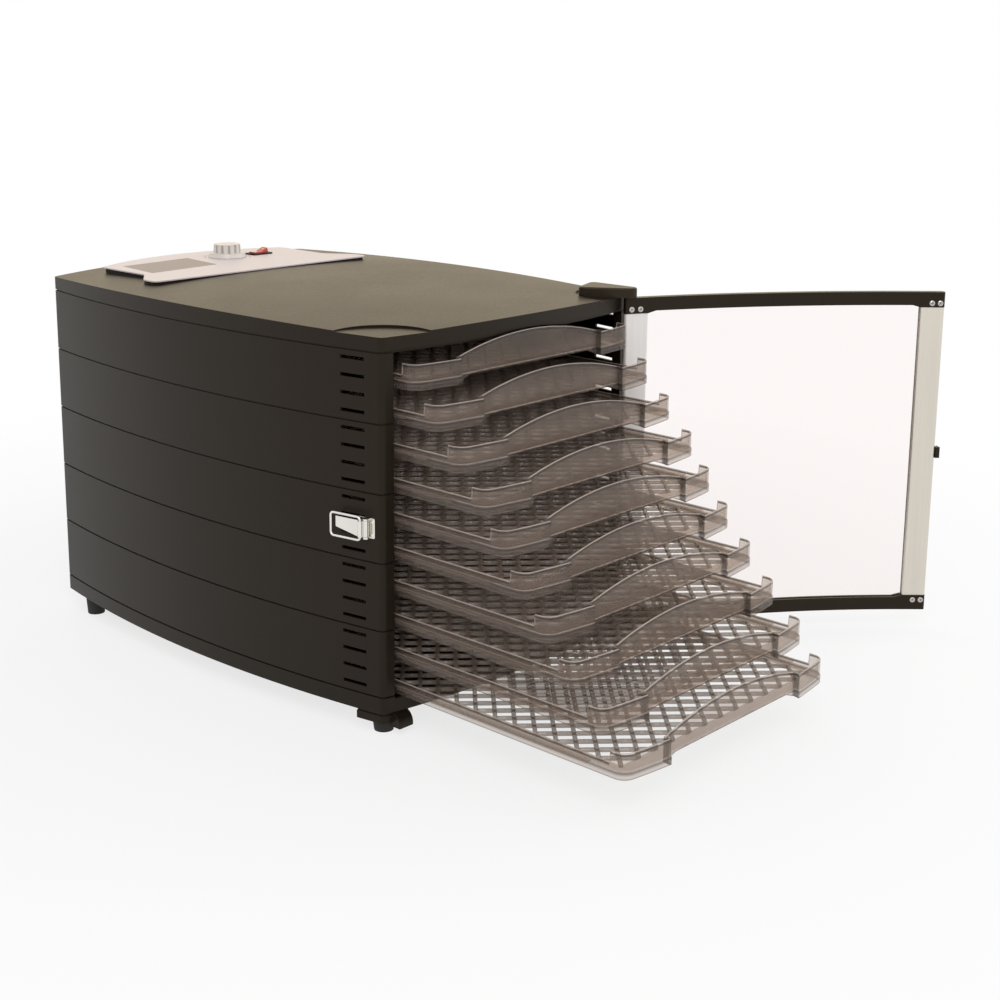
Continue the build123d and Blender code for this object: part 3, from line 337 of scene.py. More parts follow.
class TrayLook(bpy.types.PropertyGroup):
    """Sizes and tint of the trays."""

    smoke: FloatVectorProperty(
        name="Smoke", description="Colour of the smoked plastic itself", subtype="COLOR",
        default=(0.32, 0.262, 0.225), min=0, max=1,
    )
    tint: FloatVectorProperty(
        name="Tint", description="What one surface lets through", subtype="COLOR",
        default=(0.965, 0.93, 0.90), min=0, max=1,
    )
    width: FloatProperty(name="Width", description="Outside width", unit="LENGTH", default=0.284)
    depth: FloatProperty(
        name="Depth", description="Front corners to rear", unit="LENGTH", default=0.372,
    )
    bow: FloatProperty(name="Bow", description="Bow of the front ends", unit="LENGTH", default=0.012)
    corner: FloatProperty(name="Corner", description="Corner radius", unit="LENGTH", default=0.012)
    wall: FloatProperty(name="Wall", description="Wall thickness", unit="LENGTH", default=0.002)
    side_height: FloatProperty(
        name="Side height", description="Side walls", unit="LENGTH", default=0.0125,
    )
    end_height: FloatProperty(
        name="End height", description="Front ends", unit="LENGTH", default=0.022,
    )
    crest_height: FloatProperty(
        name="Crest", description="Middle of the front", unit="LENGTH", default=0.0355,
    )
    crest_width: FloatProperty(
        name="Crest width", description="Front panel", unit="LENGTH", default=0.186,
    )
    set_back: FloatProperty(
        name="Set back", description="Panel behind its ends", unit="LENGTH", default=0.005,
    )
    chamfer: FloatProperty(
        name="Chamfer", description="Panel's lower corners", unit="LENGTH", default=0.016,
    )
    run: FloatProperty(name="Run", description="High part of the sides", unit="LENGTH", default=0.015)
    floor: FloatProperty(name="Floor", description="Underside of the floor", unit="LENGTH", default=0.006)
    floor_depth: FloatProperty(
        name="Floor depth", description="Floor thickness", unit="LENGTH", default=0.002,
    )
    border: FloatProperty(
        name="Border", description="Plain edge of the floor", unit="LENGTH", default=0.009,
    )
    veil: FloatProperty(name="Veil", description="How far a wall hides what is behind", default=0.18)
    glance: FloatProperty(name="Glance", description="How far more, seen edge on", default=0.40)
    floor_veil: FloatProperty(name="Floor veil", description="The same of the lattice", default=0.50)
    floor_glance: FloatProperty(name="Floor glance", description="The same, seen edge on", default=0.25)
    cells_across: IntProperty(name="Cells across", description="Lattice cells across", default=24)
    cells_along: IntProperty(name="Cells along", description="Lattice cells along", default=32)


class DoorLook(bpy.types.PropertyGroup):
    """Finish and screws of the door."""

    tint: FloatVectorProperty(
        name="Tint", description="What one surface of the panel lets through", subtype="COLOR",
        default=(0.994, 0.972, 0.966), min=0, max=1,
    )
    metal: FloatVectorProperty(
        name="Aluminium", description="Colour of the stiles", subtype="COLOR",
        default=(0.70, 0.655, 0.58), min=0, max=1,
    )
    # Painted reflection: the hinge stile is the same aluminium as the handle stile, given this lighter
    # colour for the white surroundings it mirrors.
    bright: FloatVectorProperty(
        name="Bright strip", description="Colour of the strip on the hinge side", subtype="COLOR",
        default=(0.84, 0.81, 0.785), min=0, max=1,
    )
    screw: FloatProperty(
        name="Screw", description="Radius of a screw head", unit="LENGTH", default=0.0027,
    )


class ControlLook(bpy.types.PropertyGroup):
    """Finish of the control plate, knob and switch."""

    silver: FloatVectorProperty(
        name="Silver", description="Colour of the plate", subtype="COLOR",
        default=(0.72, 0.645, 0.645), min=0, max=1,
    )
    panel: FloatVectorProperty(
        name="Panel", description="Colour of the plain grey panel", subtype="COLOR",
        default=(0.30, 0.25, 0.24), min=0, max=1,
    )
    white: FloatVectorProperty(
        name="Knob", description="Colour of the knob", subtype="COLOR",
        default=(0.76, 0.70, 0.65), min=0, max=1,
    )
    red: FloatVectorProperty(
        name="Rocker", description="Colour of the rocker", subtype="COLOR",
        default=(0.56, 0.045, 0.03), min=0, max=1,
    )
    # Colour of the printed marks, and also of the painted shade in the knob's flutes.
    ink_and_shade: FloatVectorProperty(
        name="Ink", description="Colour of the dial marks", subtype="COLOR",
        default=(0.05, 0.048, 0.046), min=0, max=1,
    )
    dial: FloatProperty(
        name="Dial", description="Radius of the printed ring", unit="LENGTH", default=0.0235,
    )
    ticks: IntProperty(name="Ticks", description="Marks round the full ring", default=24)


class StageLook(bpy.types.PropertyGroup):
    """Camera and light."""

    lens: FloatProperty(name="Lens", description="Focal length in millimetres", default=58.935)
    sky: FloatProperty(name="Sky", description="Strength of the even light", default=0.58)
    key: FloatProperty(name="Key", description="Power of the main lamp", unit="POWER", default=28.0)
    card: FloatVectorProperty(
        name="Card", description="Colour of the card that the lid mirrors", subtype="COLOR",
        size=4, default=(1.0, 0.86, 0.64, 1.0), min=0, max=1,
    )


class DehydratorLook(bpy.types.PropertyGroup):
    """All the sizes and colours of the dressing."""

    cabinet: PointerProperty(type=CabinetLook)
    tray: PointerProperty(type=TrayLook)
    door: PointerProperty(type=DoorLook)
    control: PointerProperty(type=ControlLook)
    stage: PointerProperty(type=StageLook)


def look():
    return bpy.context.scene.dehydrator


# Finishes


def moulded_black(name, colour, roughness, grain):
    """Satin black moulding: fine leather grain, faint mottling and slightly uneven gloss."""
    paint = Paint(name, IOR=1.5, Specular_IOR_Level=0.20, Specular_Tint=(1.0, 0.86, 0.68, 1.0))
    mottle = paint.noise(7.0, 4.0)
    speck = paint.noise(420.0, 2.0)
    tone = mottle * 0.55 + speck * 0.45
    soft = paint.bump(mottle, 0.10, 0.0006, paint.rounded(0.0007))
    return paint.set(
        Base_Color=paint.mix(tone, shade(colour, 0.72), shade(colour, 1.38)),
        Roughness=roughness + (mottle - 0.5) * 0.14 + (speck - 0.5) * 0.12,
        Normal=paint.bump(paint.cells(1 / grain), 0.20, 0.00012, soft),
    )


def brushed(name, colour, roughness, stretch, metallic=1.0):
    """Brushed metal: noise drawn out along one axis for colour, gloss and relief."""
    paint = Paint(name, Metallic=metallic)
    lines = paint.noise(60.0, 6.0, 0.6, paint.stretched(stretch))
    tone = lines * 0.7 + paint.noise(14.0) * 0.3
    return paint.set(
        Base_Color=paint.mix(tone, shade(colour, 0.86), shade(colour, 1.08)),
        Roughness=roughness + (lines - 0.5) * 0.16,
        Normal=paint.bump(lines, 0.10, 0.0001),
    )


def bright_chrome(name):
    """Bright plating with faint waviness and a few dulled patches."""
    paint = Paint(name, Metallic=1.0)
    dull = paint.noise(45.0, 4.0)
    return paint.set(
        Base_Color=paint.mix(dull, (0.70, 0.67, 0.63), (0.86, 0.84, 0.80)),
        Roughness=0.10 + dull * 0.14,
        Normal=paint.bump(paint.noise(160.0, 2.0), 0.06, 0.0002),
    )


def smoke_clear(name, colour, tint, veil, glance):
    """Smoke-tinted clear moulding: the veil of its own colour thickens towards grazing views.

    The edge attribute is 1 for a painted highlight where an edge catches the light, -1 for the
    line of painted shade beside it.
    """
    paint = Paint(name, IOR=1.5)
    drift = paint.noise(18.0)
    ripple = paint.noise(90.0, 2.0)
    edge = paint.attribute("edge")
    bright = edge.either(0.0)
    painted_shade = (0 - edge).either(0.0)
    plain = paint.mix(drift, shade(colour, 0.86), shade(colour, 1.12))
    # Painted highlight (2.1 times the colour) and painted shade (0.12 times) along the edges, shown
    # nearly opaque, for the light and dark lines that clear plastic shows there.
    paint.set(
        Base_Color=paint.mix(painted_shade, paint.mix(bright, plain, shade(colour, 2.1)), shade(colour, 0.12)),
        Roughness=0.10 + ripple * 0.12,
    )
    body = veil + (drift - 0.5) * 0.05 + paint.edge_on() ** 3.0 * glance
    return paint.see_through(body.either(bright * 0.65).either(painted_shade * 0.82), tint)


def clear_sheet(name, tint):
    """Clear polished sheet with the faintest haze and a gloss that grows towards grazing views."""
    paint = Paint(name, IOR=1.5)
    haze = paint.noise(6.0)
    paint.set(
        Base_Color=paint.mix(haze, (0.80, 0.775, 0.765), (0.88, 0.86, 0.85)),
        Roughness=0.03 + haze * 0.05,
    )
    return paint.see_through(0.01 + haze * 0.015 + paint.edge_on() ** 4.0 * 0.6, tint)


def plain_moulding(name, colour, roughness, coat_weight=0.0, grain=900.0, marks=None, ink_and_shade=None):
    """Coloured moulding with a trace of mottling and a fine matt grain, and marks on it: print, and
    painted shade in the knob's flutes.
    """
    paint = Paint(name, IOR=1.48, Coat_Weight=coat_weight)
    fine = paint.noise(grain, 2.0)
    tone = paint.mix(paint.noise(55.0), shade(colour, 0.93), shade(colour, 1.05))
    return paint.set(
        Base_Color=paint.mix(marks(*paint.axes()), tone, ink_and_shade) if marks else tone,
        Roughness=roughness + (fine - 0.5) * 0.12,
        Normal=paint.bump(fine, 0.06, 0.0001),
    )


class DEHYDRATOR_OT_cabinet(bpy.types.Operator):
    """Finishes the bands, lid, base, feet and the parts behind the baffle"""

    bl_idname = "dehydrator.cabinet"
    bl_label = "Cabinet"

    def execute(self, context):
        own = look().cabinet
        black = moulded_black("black_moulding", own.black, own.gloss, own.grain)
        coat(black, "top_cover", "base_pan", *named("front_bracket"), *named("band_"))
        # Painted light: the hinge cap is the cabinet black made 2.2 times lighter, for the light that
        # falls on its front.
        coat(moulded_black("cap_moulding", shade(own.black, 2.2), own.gloss, own.grain), "hinge_cap")
        inner = moulded_black("inner_moulding", shade(own.black, 0.8), own.gloss + 0.2, own.grain)
        coat(inner, "rear_baffle", "thermostat_body")
        rubber = plain_moulding("foot_rubber", (0.018, 0.017, 0.016), 0.75, grain=1500.0)
        coat(rubber, "cord_bushing", *named("_foot_"))
        steel = brushed("shaft_steel", (0.60, 0.60, 0.60), 0.30, (3, 1, 3))
        coat(steel, "motor_spider", "latch_pin", *named("_shaft"), *named("hinge_pin"))
        coat(brushed("heater_tube", (0.33, 0.29, 0.26), 0.45, (2, 2, 2)), "heater_element")
        coat(plain_moulding("motor_paint", (0.20, 0.21, 0.23), 0.5), "fan_motor")
        coat(plain_moulding("fan_moulding", (0.07, 0.07, 0.07), 0.55), "fan_rotor")
        coat(plain_moulding("holder_ceramic", (0.72, 0.69, 0.64), 0.6), *named("heater_holder"))
        return {"FINISHED"}


FRONT_MARGIN = 0.001
FLANGE_INSET = 0.034
FLANGE_LAP = 0.0012
FLANGE_REACH = 0.0038
FLANGE_LOW = 0.0006
FLANGE_HIGH = 0.0022
RISE_STEP = 0.0003
RISE_START = 0.004


def tray_outline(own):
    """Plan of a tray: points, inward offsets for a unit of wall, and which lie on the front panel.

    The left half runs from the middle of the back round to the middle of the front and the right
    half is its mirror. The front ends lie on the arc through both corners and the bow; between
    the ends the straight panel stands back. A point's offset is the mitre of its two edges'
    left-hand normals, (m + n) / (1 + m.n).
    """
    half, depth, r = own.width / 2, own.depth, own.corner
    big = (half**2 + own.bow**2) / (2 * own.bow)
    arc_y = big - own.bow
    cx = half - r
    cy = arc_y - sqrt((big - r) ** 2 - cx**2)
    lean = atan2(cy - arc_y, cx)
    crease = own.crest_width / 2
    crease_y = arc_y - sqrt(big**2 - crease**2)
    inner = crease - own.wall
    panel_y = crease_y + own.set_back
    rear_x = np.linspace(0, -cx, 7)[:-1]
    turn = np.linspace(pi / 2, pi, 7)
    side_y = np.concatenate([
        np.linspace(depth - r, own.run + RISE_START, 14)[1:],
        [own.run + RISE_STEP, own.run - RISE_STEP],
    ])
    bend = np.linspace(pi, pi - lean, 10)
    front_x = np.linspace(-cx - r * cos(lean), -crease, 8)[1:]
    panel_x = np.concatenate([
        np.linspace(-inner, -crease + own.chamfer, 5),
        np.linspace(-crease + own.chamfer, 0, 24)[1:],
    ])
    pieces = [
        (rear_x, np.full_like(rear_x, depth)),
        (-cx + r * np.cos(turn), depth - r + r * np.sin(turn)),
        (np.full_like(side_y, -half), side_y),
        (-cx + r * np.cos(bend), cy + r * np.sin(bend)),
        (front_x, arc_y - np.sqrt(big**2 - front_x**2)),
        ([-inner], [crease_y]),
        (panel_x, np.full_like(panel_x, panel_y)),
    ]
    left = np.concatenate([np.stack(piece, 1) for piece in pieces])
    on_panel = np.arange(len(left)) >= len(left) - len(panel_x)
    points = np.concatenate([left, left[-2:0:-1] * (-1, 1)])
    on_panel = np.concatenate([on_panel, on_panel[-2:0:-1]])
    ahead = np.roll(points, -1, 0) - points
    ahead /= np.linalg.norm(ahead, axis=1)[:, None]
    normal = np.stack([-ahead[:, 1], ahead[:, 0]], 1)
    before = np.roll(normal, 1, 0)
    inward = (normal + before) / (1 + (normal * before).sum(1))[:, None]
    return points, inward, on_panel


def tray_wall(own):
    """Wall of a tray: a stepped section carried round the outline, with a value for its edges.

    The top follows the sides, climbs to the front ends and rises over the front panel as an arc;
    the bottom of the panel slants up to the floor at both ends. The part above the floor stands
    back from the skirt by a small step. The third value of a section row is the edge attribute:
    painted highlight above 0 and painted shade below 0, lines that stand in for how the clear
    plastic catches and loses the light along its edges and ledge. The folds beside the panel add
    an upright line of painted shade.
    """
    points, inward, on_panel = tray_outline(own)
    x, y = points.T
    crease = own.crest_width / 2
    rise = own.crest_height - own.end_height
    arc = (crease**2 + rise**2) / (2 * rise)
    crest = np.sqrt(arc**2 - np.minimum(np.abs(x), crease) ** 2) - (arc - rise)
    top = np.where(y < own.run, own.end_height, own.side_height) + np.where(on_panel, crest, 0)
    low = np.where(on_panel, own.floor * np.clip((crease - np.abs(x)) / own.chamfer, 0, 1), 0.0)
    # Painted shade: an upright dark line at the folds beside the front panel.
    fold_shade = np.where((np.abs(np.abs(x) - crease + own.wall) < 1e-5) & (y < own.run), -0.7, 0.0)
    wall, floor = own.wall, own.floor
    ledge = floor + own.floor_depth * 0.5 + 0 * x
    # Third value of each row: painted highlight above 0, painted shade below 0, in lines along the
    # bottom, the floor ledge and the top of the wall.
    section = (
        (0.0003, low, -0.4),
        (0.0, np.minimum(low + 0.0004, ledge), -0.8),
        (0.0, np.minimum(low + 0.0010, ledge), -0.5),
        (0.0, np.minimum(low + 0.0020, ledge - 0.0014), 0.0),
        (0.0, ledge - 0.0012, -1.0),
        (0.0, ledge - 0.0004, -0.6),
        (0.0, ledge, 0.4),
        (0.0006, ledge + 0.0006, 0.7),
        (0.0006, ledge + 0.0016, 0.0),
        (0.0006, top - 0.0032, 0.0),
        (0.0006, top - 0.0024, -1.0),
        (0.0006, top - 0.0012, -1.0),
        (0.0006, top - 0.0006, 0.5),
        (0.0009, top - 0.0001, 1.0),
        (wall - 0.0003, top, 1.0),
        (wall, top - 0.0005, 0.6),
        (wall, top - 0.0018, -0.5),
        (wall, top - 0.0032, 0.0),
        (wall, floor + own.floor_depth + 0 * x, 0.0),
        (wall, np.minimum(low + 0.0004, floor), 0.0),
        (wall - 0.0003, low, 0.3),
    )
    rows = [np.column_stack([points + inward * inset, height]) for inset, height, _ in section]
    edge = np.array([value for _, _, value in section])[None] + fold_shade[:, None]
    return np.stack(rows, 1).reshape(-1, 3), sheet_faces(len(x), len(section), True, True), edge.ravel()


def tray_border(own, low, high):
    """Flat border of the floor between the wall and the rectangle of the lattice."""
    points, inward, _ = tray_outline(own)
    outer = points + inward * own.wall * 0.6
    inner = np.clip(points, low, high)
    floor, top = own.floor, own.floor + own.floor_depth
    corners = ((outer, floor), (outer, top), (inner, top), (inner, floor))
    rows = [np.column_stack([flat, np.full(len(flat), height)]) for flat, height in corners]
    return np.stack(rows, 1).reshape(-1, 3), sheet_faces(len(points), 4, True, True)


def tray_lattice(own, low, high):
    """Floor of short bars on the diagonals of a grid of cells, alternately one way and the other.

    Each bar is a six-sided section at four stations, slim where bars meet and thick between.
    """
    nx, ny = own.cells_across, own.cells_along
    size = (high - low) / (nx, ny)
    i, j = [a.ravel() for a in np.meshgrid(np.arange(nx), np.arange(ny), indexing="ij")]
    lean = np.where((i + j) % 2 == 0, 1.0, -1.0)
    centre = low + (np.stack([i, j], 1) + 0.5) * size
    along = np.stack([np.full(len(i), size[0]), lean * size[1]], 1)
    length = np.linalg.norm(size)
    along /= length
    across = np.stack([-along[:, 1], along[:, 0]], 1)
    station = np.array([-0.5, -0.36, 0.36, 0.5]) * length
    half = np.array([0.0010, 0.0019, 0.0019, 0.0010])
    foot = own.floor + np.array([0.0004, -0.0002, -0.0002, 0.0004])
    head = own.floor + np.array([0.0014, 0.0028, 0.0028, 0.0014])
    mid = (foot + head) / 2
    v = np.stack([-half, half, half, 0.5 * half, -0.5 * half, -half], 1).ravel()
    w = np.stack([foot, foot, mid, head, head, mid], 1).ravel()
    u = np.repeat(station, 6)
    flat = centre[:, None] + along[:, None] * u[:, None] + across[:, None] * v[:, None]
    height = np.broadcast_to(w[:, None], (len(i), len(w), 1))
    ends = [[0, 1, 2, 5], [2, 3, 4, 5], [18, 19, 20, 23], [20, 21, 22, 23]]
    faces = np.concatenate([sheet_faces(4, 6, False, True), ends])
    return np.concatenate([flat, height], 2).reshape(-1, 3), copies(len(w), faces, len(i))


def tray_runners(own):
    """Flange along each side of a tray, by which it hangs on the runners of the cabinet."""
    shapes = []
    for side in (-1, 1):
        x0, x1 = sorted((side * (own.width / 2 - FLANGE_LAP), side * (own.width / 2 + FLANGE_REACH)))
        low = (x0, FLANGE_INSET, own.floor + FLANGE_LOW)
        high = (x1, own.depth - FLANGE_INSET, own.floor + FLANGE_HIGH)
        shapes.append(slab(low, high))
    return shapes


class DEHYDRATOR_OT_trays(bpy.types.Operator):
    """Builds the smoke-clear trays with their lattice floors"""

    bl_idname = "dehydrator.trays"
    bl_label = "Trays"

    def execute(self, context):
        own = look().tray
        wall_paint = smoke_clear("smoke_clear", own.smoke, own.tint, own.veil, own.glance)
        floor_paint = smoke_clear(
            "smoke_lattice", shade(own.smoke, 0.85), own.tint, own.floor_veil, own.floor_glance,
        )
        low = np.array([-own.width / 2 + own.border, own.border + FRONT_MARGIN])
        high = np.array([own.width / 2 - own.border, own.depth - own.border])
        *wall, wall_painted_light = tray_wall(own)
        walls = join(wall, tray_border(own, low, high), *tray_runners(own))
        lattice = tray_lattice(own, low, high)
        # Painted highlight and painted shade values for the wall's points; the border and flanges get
        # none.
        edges = np.zeros(len(walls[0]))
        edges[:len(wall_painted_light)] = np.clip(wall_painted_light, -1, 1)
        for name in named("tray_"):
            lowest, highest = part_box(name)
            shift = np.array([0.0, highest[1] - own.depth, lowest[2]])
            body = name.replace("tray_", "tray_body_")
            for part, (points, faces), paint, edge in (
                ("_moulding", walls, wall_paint, edges),
                ("_lattice", lattice, floor_paint, None),
            ):
                shape = (points + shift, faces)
                make(name + part, [shape], paint, body, stands_for=(name,), edge=edge)
        return {"FINISHED"}


HINGE = np.array([0.153, -0.248])
DOOR_TURN = radians(323.0)
DOOR_REACH = 0.319
DOOR_HEEL = 0.005
DOOR_BOW = 0.015
HALF_RAIL = 0.004
SCREW_RISE = 0.0013
SCREW_PLACES = (0.001, 0.010, DOOR_REACH - 0.0125, DOOR_REACH - 0.0045)
TOP_SCREWS_UP = 0.0042
LOW_SCREWS_DOWN = 0.0048


def door_screws(own):
    """Four screws on the inner face of each rail, two near either end.

    The rail's middle line is the arc y = bow - R + sqrt(R^2 - (x - m)^2) in the door's own plan,
    with x from the hinge to the free edge; a head stands on the face half a rail inside it.
    """
    x_dir = np.array([cos(DOOR_TURN), np.sin(DOOR_TURN)])
    y_dir = np.array([-np.sin(DOOR_TURN), cos(DOOR_TURN)])
    half = (DOOR_REACH + DOOR_HEEL) / 2
    middle = half - DOOR_HEEL
    radius = (half**2 + DOOR_BOW**2) / (2 * DOOR_BOW)
    top_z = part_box("door_top_rail")[0][2] + TOP_SCREWS_UP
    low_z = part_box("door_bottom_rail")[1][2] - LOW_SCREWS_DOWN
    shapes = []
    for z in (top_z, low_z):
        for x in SCREW_PLACES:
            out = np.array([(x - middle) / radius, sqrt(1 - ((x - middle) / radius) ** 2)])
            place = np.array([middle, DOOR_BOW - radius]) + out * (radius - HALF_RAIL)
            flat = HINGE + place[0] * x_dir + place[1] * y_dir
            inwards = -(out[0] * x_dir + out[1] * y_dir)
            axis = np.array([*inwards, 0.0])
            spin = radians(25.0 + 4000.0 * x)
            side = np.cos(spin) * UP + np.sin(spin) * np.cross(axis, UP)
            shapes.append(screw_head(own.screw, SCREW_RISE, np.array([*flat, z]), axis, side))
    return shapes


class DEHYDRATOR_OT_door(bpy.types.Operator):
    """Finishes the door and adds its screws"""

    bl_idname = "dehydrator.door"
    bl_label = "Door"

    def execute(self, context):
        own = look().door
        base = look().cabinet
        rail = moulded_black("rail_moulding", shade(base.black, 1.3), base.gloss - 0.04, base.grain * 0.8)
        coat(rail, "door_top_rail", "door_bottom_rail", "door_catch")
        coat(clear_sheet("door_sheet", own.tint), "door_panel")
        coat(brushed("stile_aluminium", own.metal, 0.34, (8, 8, 0.12), 0.75), "door_handle_stile")
        # Painted reflection: the hinge stile gets a lighter, less metallic copy of the stile aluminium
        # for the white surroundings it mirrors.
        coat(brushed("stile_bright", own.bright, 0.40, (8, 8, 0.12), 0.3), "door_hinge_stile")
        steel = brushed("screw_steel", (0.52, 0.50, 0.47), 0.28, (2, 2, 2))
        make("door_screws", door_screws(own), steel, "door")
        return {"FINISHED"}


LATCH_PLACE = (-0.16343, -0.226)
LATCH_FORWARDS = np.array([0.1719, -0.9851, 0.0])
LATCH_OUTWARDS = np.cross(LATCH_FORWARDS, UP)
RIVET_R = 0.0014
RIVET_RISE = 0.0006
RIVET_AHEAD = 0.0049
RIVET_OUT = 0.0016
RIVET_LIFTS = (-0.0055, 0.0055)


class DEHYDRATOR_OT_latch(bpy.types.Operator):
    """Finishes the draw latch and adds its rivets"""

    bl_idname = "dehydrator.latch"
    bl_label = "Latch"

    def execute(self, context):
        chrome = bright_chrome("latch_chrome")
        coat(chrome, "latch_base", "latch_lever", "latch_bail")
        low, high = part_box("latch_base")
        middle = np.array([*LATCH_PLACE, (low[2] + high[2]) / 2])
        shapes = []
        for lift in RIVET_LIFTS:
            place = middle + LATCH_FORWARDS * RIVET_AHEAD + UP * lift + LATCH_OUTWARDS * RIVET_OUT
            shapes.append(screw_head(RIVET_R, RIVET_RISE, place, LATCH_OUTWARDS, UP))
        make("latch_rivets", shapes, chrome, "cabinet")
        return {"FINISHED"}


KNOB = (0.024, 0.196)
KNOB_SKIRT = (0.0160, 0.0188)
# Radii and heights of the painted shade in the grip's flutes.
KNOB_FLUTES = (0.0120, 0.0138)
KNOB_GRIP_Z = (0.3600, 0.3684)
KNOB_TOP_Z = 0.3675
POINTER_HALF = 0.0006
POINTER_START = 0.006
SWITCH = (0.063, 0.191)
SWITCH_MARK_X = 0.0052
BAR_HALF = (0.0004, 0.0017)
LOOP_R = (0.0012, 0.0018)
PANEL_X = (-0.1235, -0.0382)
PANEL_Y = (0.1578, 0.2180)
PANEL_LEAN = (0.115, 0.087)
PANEL_SOFT = 0.00025
LINE_SOFT = 0.0001
RING_HALF = 0.0002
TICK_LENGTH = 0.003


def polar(x, y, centre):
    """Distance from a centre and angle about it, as taps."""
    dx, dy = x - centre[0], y - centre[1]
    return (dx * dx + dy * dy).math("SQRT"), dy.math("ARCTAN2", dx)


def ticks(radius, angle, count, width):
    """Radial strokes: 1 within half a width of each of count even angles."""
    step = 2 * pi / count
    off = abs((angle / step).math("FRACT").math("SUBTRACT", 0.5))
    return ((0.5 - off) * step * radius).below(width / 2, width / 8)


class DEHYDRATOR_OT_controls(bpy.types.Operator):
    """Finishes the control plate with its dial, the knob and the switch"""

    bl_idname = "dehydrator.controls"
    bl_label = "Controls"

    def execute(self, context):
        own = look().control
        plate = Paint("silver_plate", Metallic=0.15, IOR=1.45)
        lines = plate.noise(70.0, 5.0, 0.6, plate.stretched((0.15, 6, 6)))
        x, y, _ = plate.axes()
        panel_across = (x - y * PANEL_LEAN[0]).within(*PANEL_X, PANEL_SOFT)
        panel = panel_across * (y - x * PANEL_LEAN[1]).within(*PANEL_Y, PANEL_SOFT)
        radius, angle = polar(x, y, KNOB)
        sweep = abs(angle + pi / 2).above(radians(40), 0.01)
        ring = radius.within(own.dial - RING_HALF, own.dial + RING_HALF, LINE_SOFT)
        strokes = ticks(radius, angle, own.ticks, 0.0007)
        marks = radius.within(own.dial, own.dial + TICK_LENGTH, LINE_SOFT) * strokes
        silver = plate.mix(lines, shade(own.silver, 0.93), shade(own.silver, 1.06))
        grey = plate.mix(plate.noise(30.0), shade(own.panel, 0.95), shade(own.panel, 1.05))
        plate.set(
            Base_Color=plate.mix(ring.either(marks) * sweep, plate.mix(panel, silver, grey), own.ink_and_shade),
            Roughness=0.42 + (lines - 0.5) * 0.12,
            Normal=plate.bump(lines, 0.05, 0.0001),
        )
        coat(plate, "control_plate")

        def knob_print_and_shade(x, y, z):
            radius, angle = polar(x, y, KNOB)
            skirt = radius.within(*KNOB_SKIRT, LINE_SOFT) * ticks(radius, angle, 12, 0.0006)
            stroke = abs(x - KNOB[0]).below(POINTER_HALF, LINE_SOFT)
            pointer = stroke * (y - KNOB[1]).below(-POINTER_START, LINE_SOFT)
            # Painted shade in the flutes of the grip: a darkening at 0.45 towards the ink colour.
            flute_shade = radius.within(*KNOB_FLUTES, 0.0002) * z.within(*KNOB_GRIP_Z, 0.0004) * 0.45
            return skirt.either(pointer * z.above(KNOB_TOP_Z, 0.0002)).either(flute_shade)

        def rocker_marks(x, y, z):
            across = abs(x - SWITCH[0] - SWITCH_MARK_X).below(BAR_HALF[0], LINE_SOFT)
            bar = across * abs(y - SWITCH[1]).below(BAR_HALF[1], LINE_SOFT)
            radius, _ = polar(x, y, (SWITCH[0] - SWITCH_MARK_X, SWITCH[1]))
            return bar.either(radius.within(*LOOP_R, LINE_SOFT))

        knob = plain_moulding("knob_moulding", own.white, 0.32, 0.15, marks=knob_print_and_shade, ink_and_shade=own.ink_and_shade)
        coat(knob, "thermostat_knob")
        rocker = plain_moulding(
            "rocker_moulding", own.red, 0.22, 0.3, marks=rocker_marks, ink_and_shade=(0.8, 0.76, 0.72),
        )
        coat(rocker, "power_rocker")
        cabinet = look().cabinet
        coat(moulded_black("switch_moulding", cabinet.black, 0.35, cabinet.grain), "switch_housing")
        return {"FINISHED"}


FLOOR_REACH = 6.0
FLOOR_FADE = (0.8, 0.3)
FLOOR_GLOW = 0.76
CARD_ENDS = ((-0.4, 3.2), (3.2, -0.4))
CARD_Z = (0.02, 2.6)
CARD_STRENGTH = 1.15
LAMP_TARGET = (0.0, -0.1, 0.15)
LAMPS = (
    ("key", (-1.6, -1.8, 2.2), 1.6, 1.0),
    ("fill", (1.9, -1.4, 1.4), 1.8, 0.4),
    ("back", (0.4, 2.2, 2.0), 1.8, 0.5),
)
EYE = (-1.05919, -1.19605, 0.58825)
EYE_TURN = (77.4523, -0.5381, -47.3174)
EYE_SHIFT = -0.10
SENSOR = 36.0


def sheet(name, corners, paint):
    """A four-cornered sheet that only belongs to the stage."""
    mesh = bpy.data.meshes.new(name)
    mesh.from_pydata(corners, [], [(0, 1, 2, 3)])
    mesh.materials.append(paint.material)
    piece = bpy.data.objects.new(name, mesh)
    bpy.context.scene.collection.objects.link(piece)
    return piece


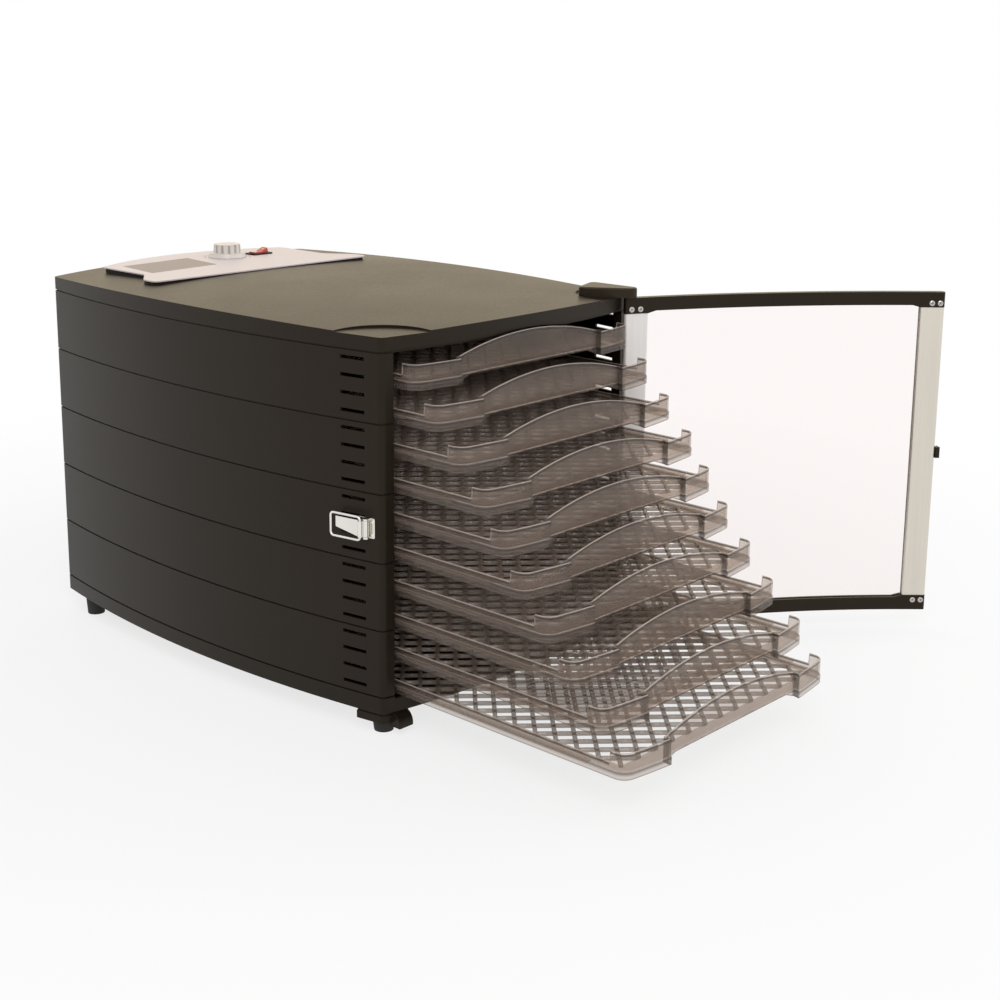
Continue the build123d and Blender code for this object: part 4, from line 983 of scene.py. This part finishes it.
class DEHYDRATOR_OT_stage(bpy.types.Operator):
    """Sets up the floor, lamps, sky and camera"""

    bl_idname = "dehydrator.stage"
    bl_label = "Stage"

    def execute(self, context):
        own = look().stage
        scene = context.scene
        scene.view_settings.view_transform = "Standard"
        white = (1.0, 1.0, 1.0, 1.0)

        world = bpy.data.worlds.new("studio")
        scene.world = world
        world.use_nodes = True
        sky = Graph(world.node_tree)
        even = sky.node("ShaderNodeBackground", None, {"Color": white, "Strength": own.sky})
        back = sky.node("ShaderNodeBackground", None, {"Color": white, "Strength": 1.0})
        both = sky.node("ShaderNodeMixShader", None, {0: sky.seen(), 1: even, 2: back})
        sky.feed(world.node_tree.nodes["World Output"].inputs["Surface"], both)

        ground = Paint("floor_white", Roughness=1.0, Specular_IOR_Level=0.0)
        ground.set(Base_Color=(0.9, 0.9, 0.9, 1.0))
        glow = ground.node("ShaderNodeEmission", None, {"Color": white, "Strength": 1.0})
        x, y, _ = ground.axes()
        far = (x * x + y * y).math("SQRT").above(*FLOOR_FADE)
        lit = ground.seen() * (FLOOR_GLOW + (1 - FLOOR_GLOW) * far)
        ground.surface(ground.node("ShaderNodeMixShader", None, {0: lit, 1: ground.body(), 2: glow}))
        quarters = ((-1, -1), (1, -1), (1, 1), (-1, 1))
        sheet("floor", [(i * FLOOR_REACH, j * FLOOR_REACH, 0) for i, j in quarters], ground)

        card = Paint("warm_card")
        shine = {"Color": own.card, "Strength": CARD_STRENGTH}
        card.surface(card.node("ShaderNodeEmission", None, shine))
        (left, right), (low, high) = CARD_ENDS, CARD_Z
        screen = sheet("card", [(*left, low), (*right, low), (*right, high), (*left, high)], card)
        screen.visible_camera = False
        screen.visible_diffuse = False
        screen.visible_transmission = False
        screen.visible_shadow = False

        target = Vector(LAMP_TARGET)
        for name, place, size, share in LAMPS:
            lamp = bpy.data.lights.new(name, "AREA")
            lamp.shape = "SQUARE"
            lamp.size = size
            lamp.energy = own.key * share
            stand = bpy.data.objects.new(name, lamp)
            stand.location = place
            stand.rotation_euler = (target - Vector(place)).to_track_quat("-Z", "Y").to_euler()
            scene.collection.objects.link(stand)

        camera = bpy.data.cameras.new("camera")
        camera.sensor_width = SENSOR
        camera.lens = own.lens
        camera.shift_y = EYE_SHIFT
        eye = bpy.data.objects.new("camera", camera)
        eye.location = EYE
        eye.rotation_euler = Euler([radians(angle) for angle in EYE_TURN])
        scene.collection.objects.link(eye)
        scene.camera = eye
        return {"FINISHED"}


class DEHYDRATOR_PT_panel(bpy.types.Panel):
    """Lists the steps of the dressing"""

    bl_label = "Dehydrator"
    bl_idname = "DEHYDRATOR_PT_panel"
    bl_space_type = "VIEW_3D"
    bl_region_type = "UI"
    bl_category = "Dehydrator"

    def draw(self, context):
        for step in STEPS:
            self.layout.operator(step.bl_idname)


STEPS = (
    DEHYDRATOR_OT_cabinet,
    DEHYDRATOR_OT_trays,
    DEHYDRATOR_OT_door,
    DEHYDRATOR_OT_latch,
    DEHYDRATOR_OT_controls,
    DEHYDRATOR_OT_stage,
)
LOOKS = (CabinetLook, TrayLook, DoorLook, ControlLook, StageLook, DehydratorLook)
CLASSES = (*LOOKS, *STEPS, DEHYDRATOR_PT_panel)


def register():
    for kind in CLASSES:
        bpy.utils.register_class(kind)
    bpy.types.Scene.dehydrator = PointerProperty(type=DehydratorLook)


def unregister():
    del bpy.types.Scene.dehydrator
    for kind in reversed(CLASSES):
        bpy.utils.unregister_class(kind)


def main():
    register()
    for step in STEPS:
        group, name = step.bl_idname.split(".")
        getattr(getattr(bpy.ops, group), name)()


if __name__ == "__main__":
    main()
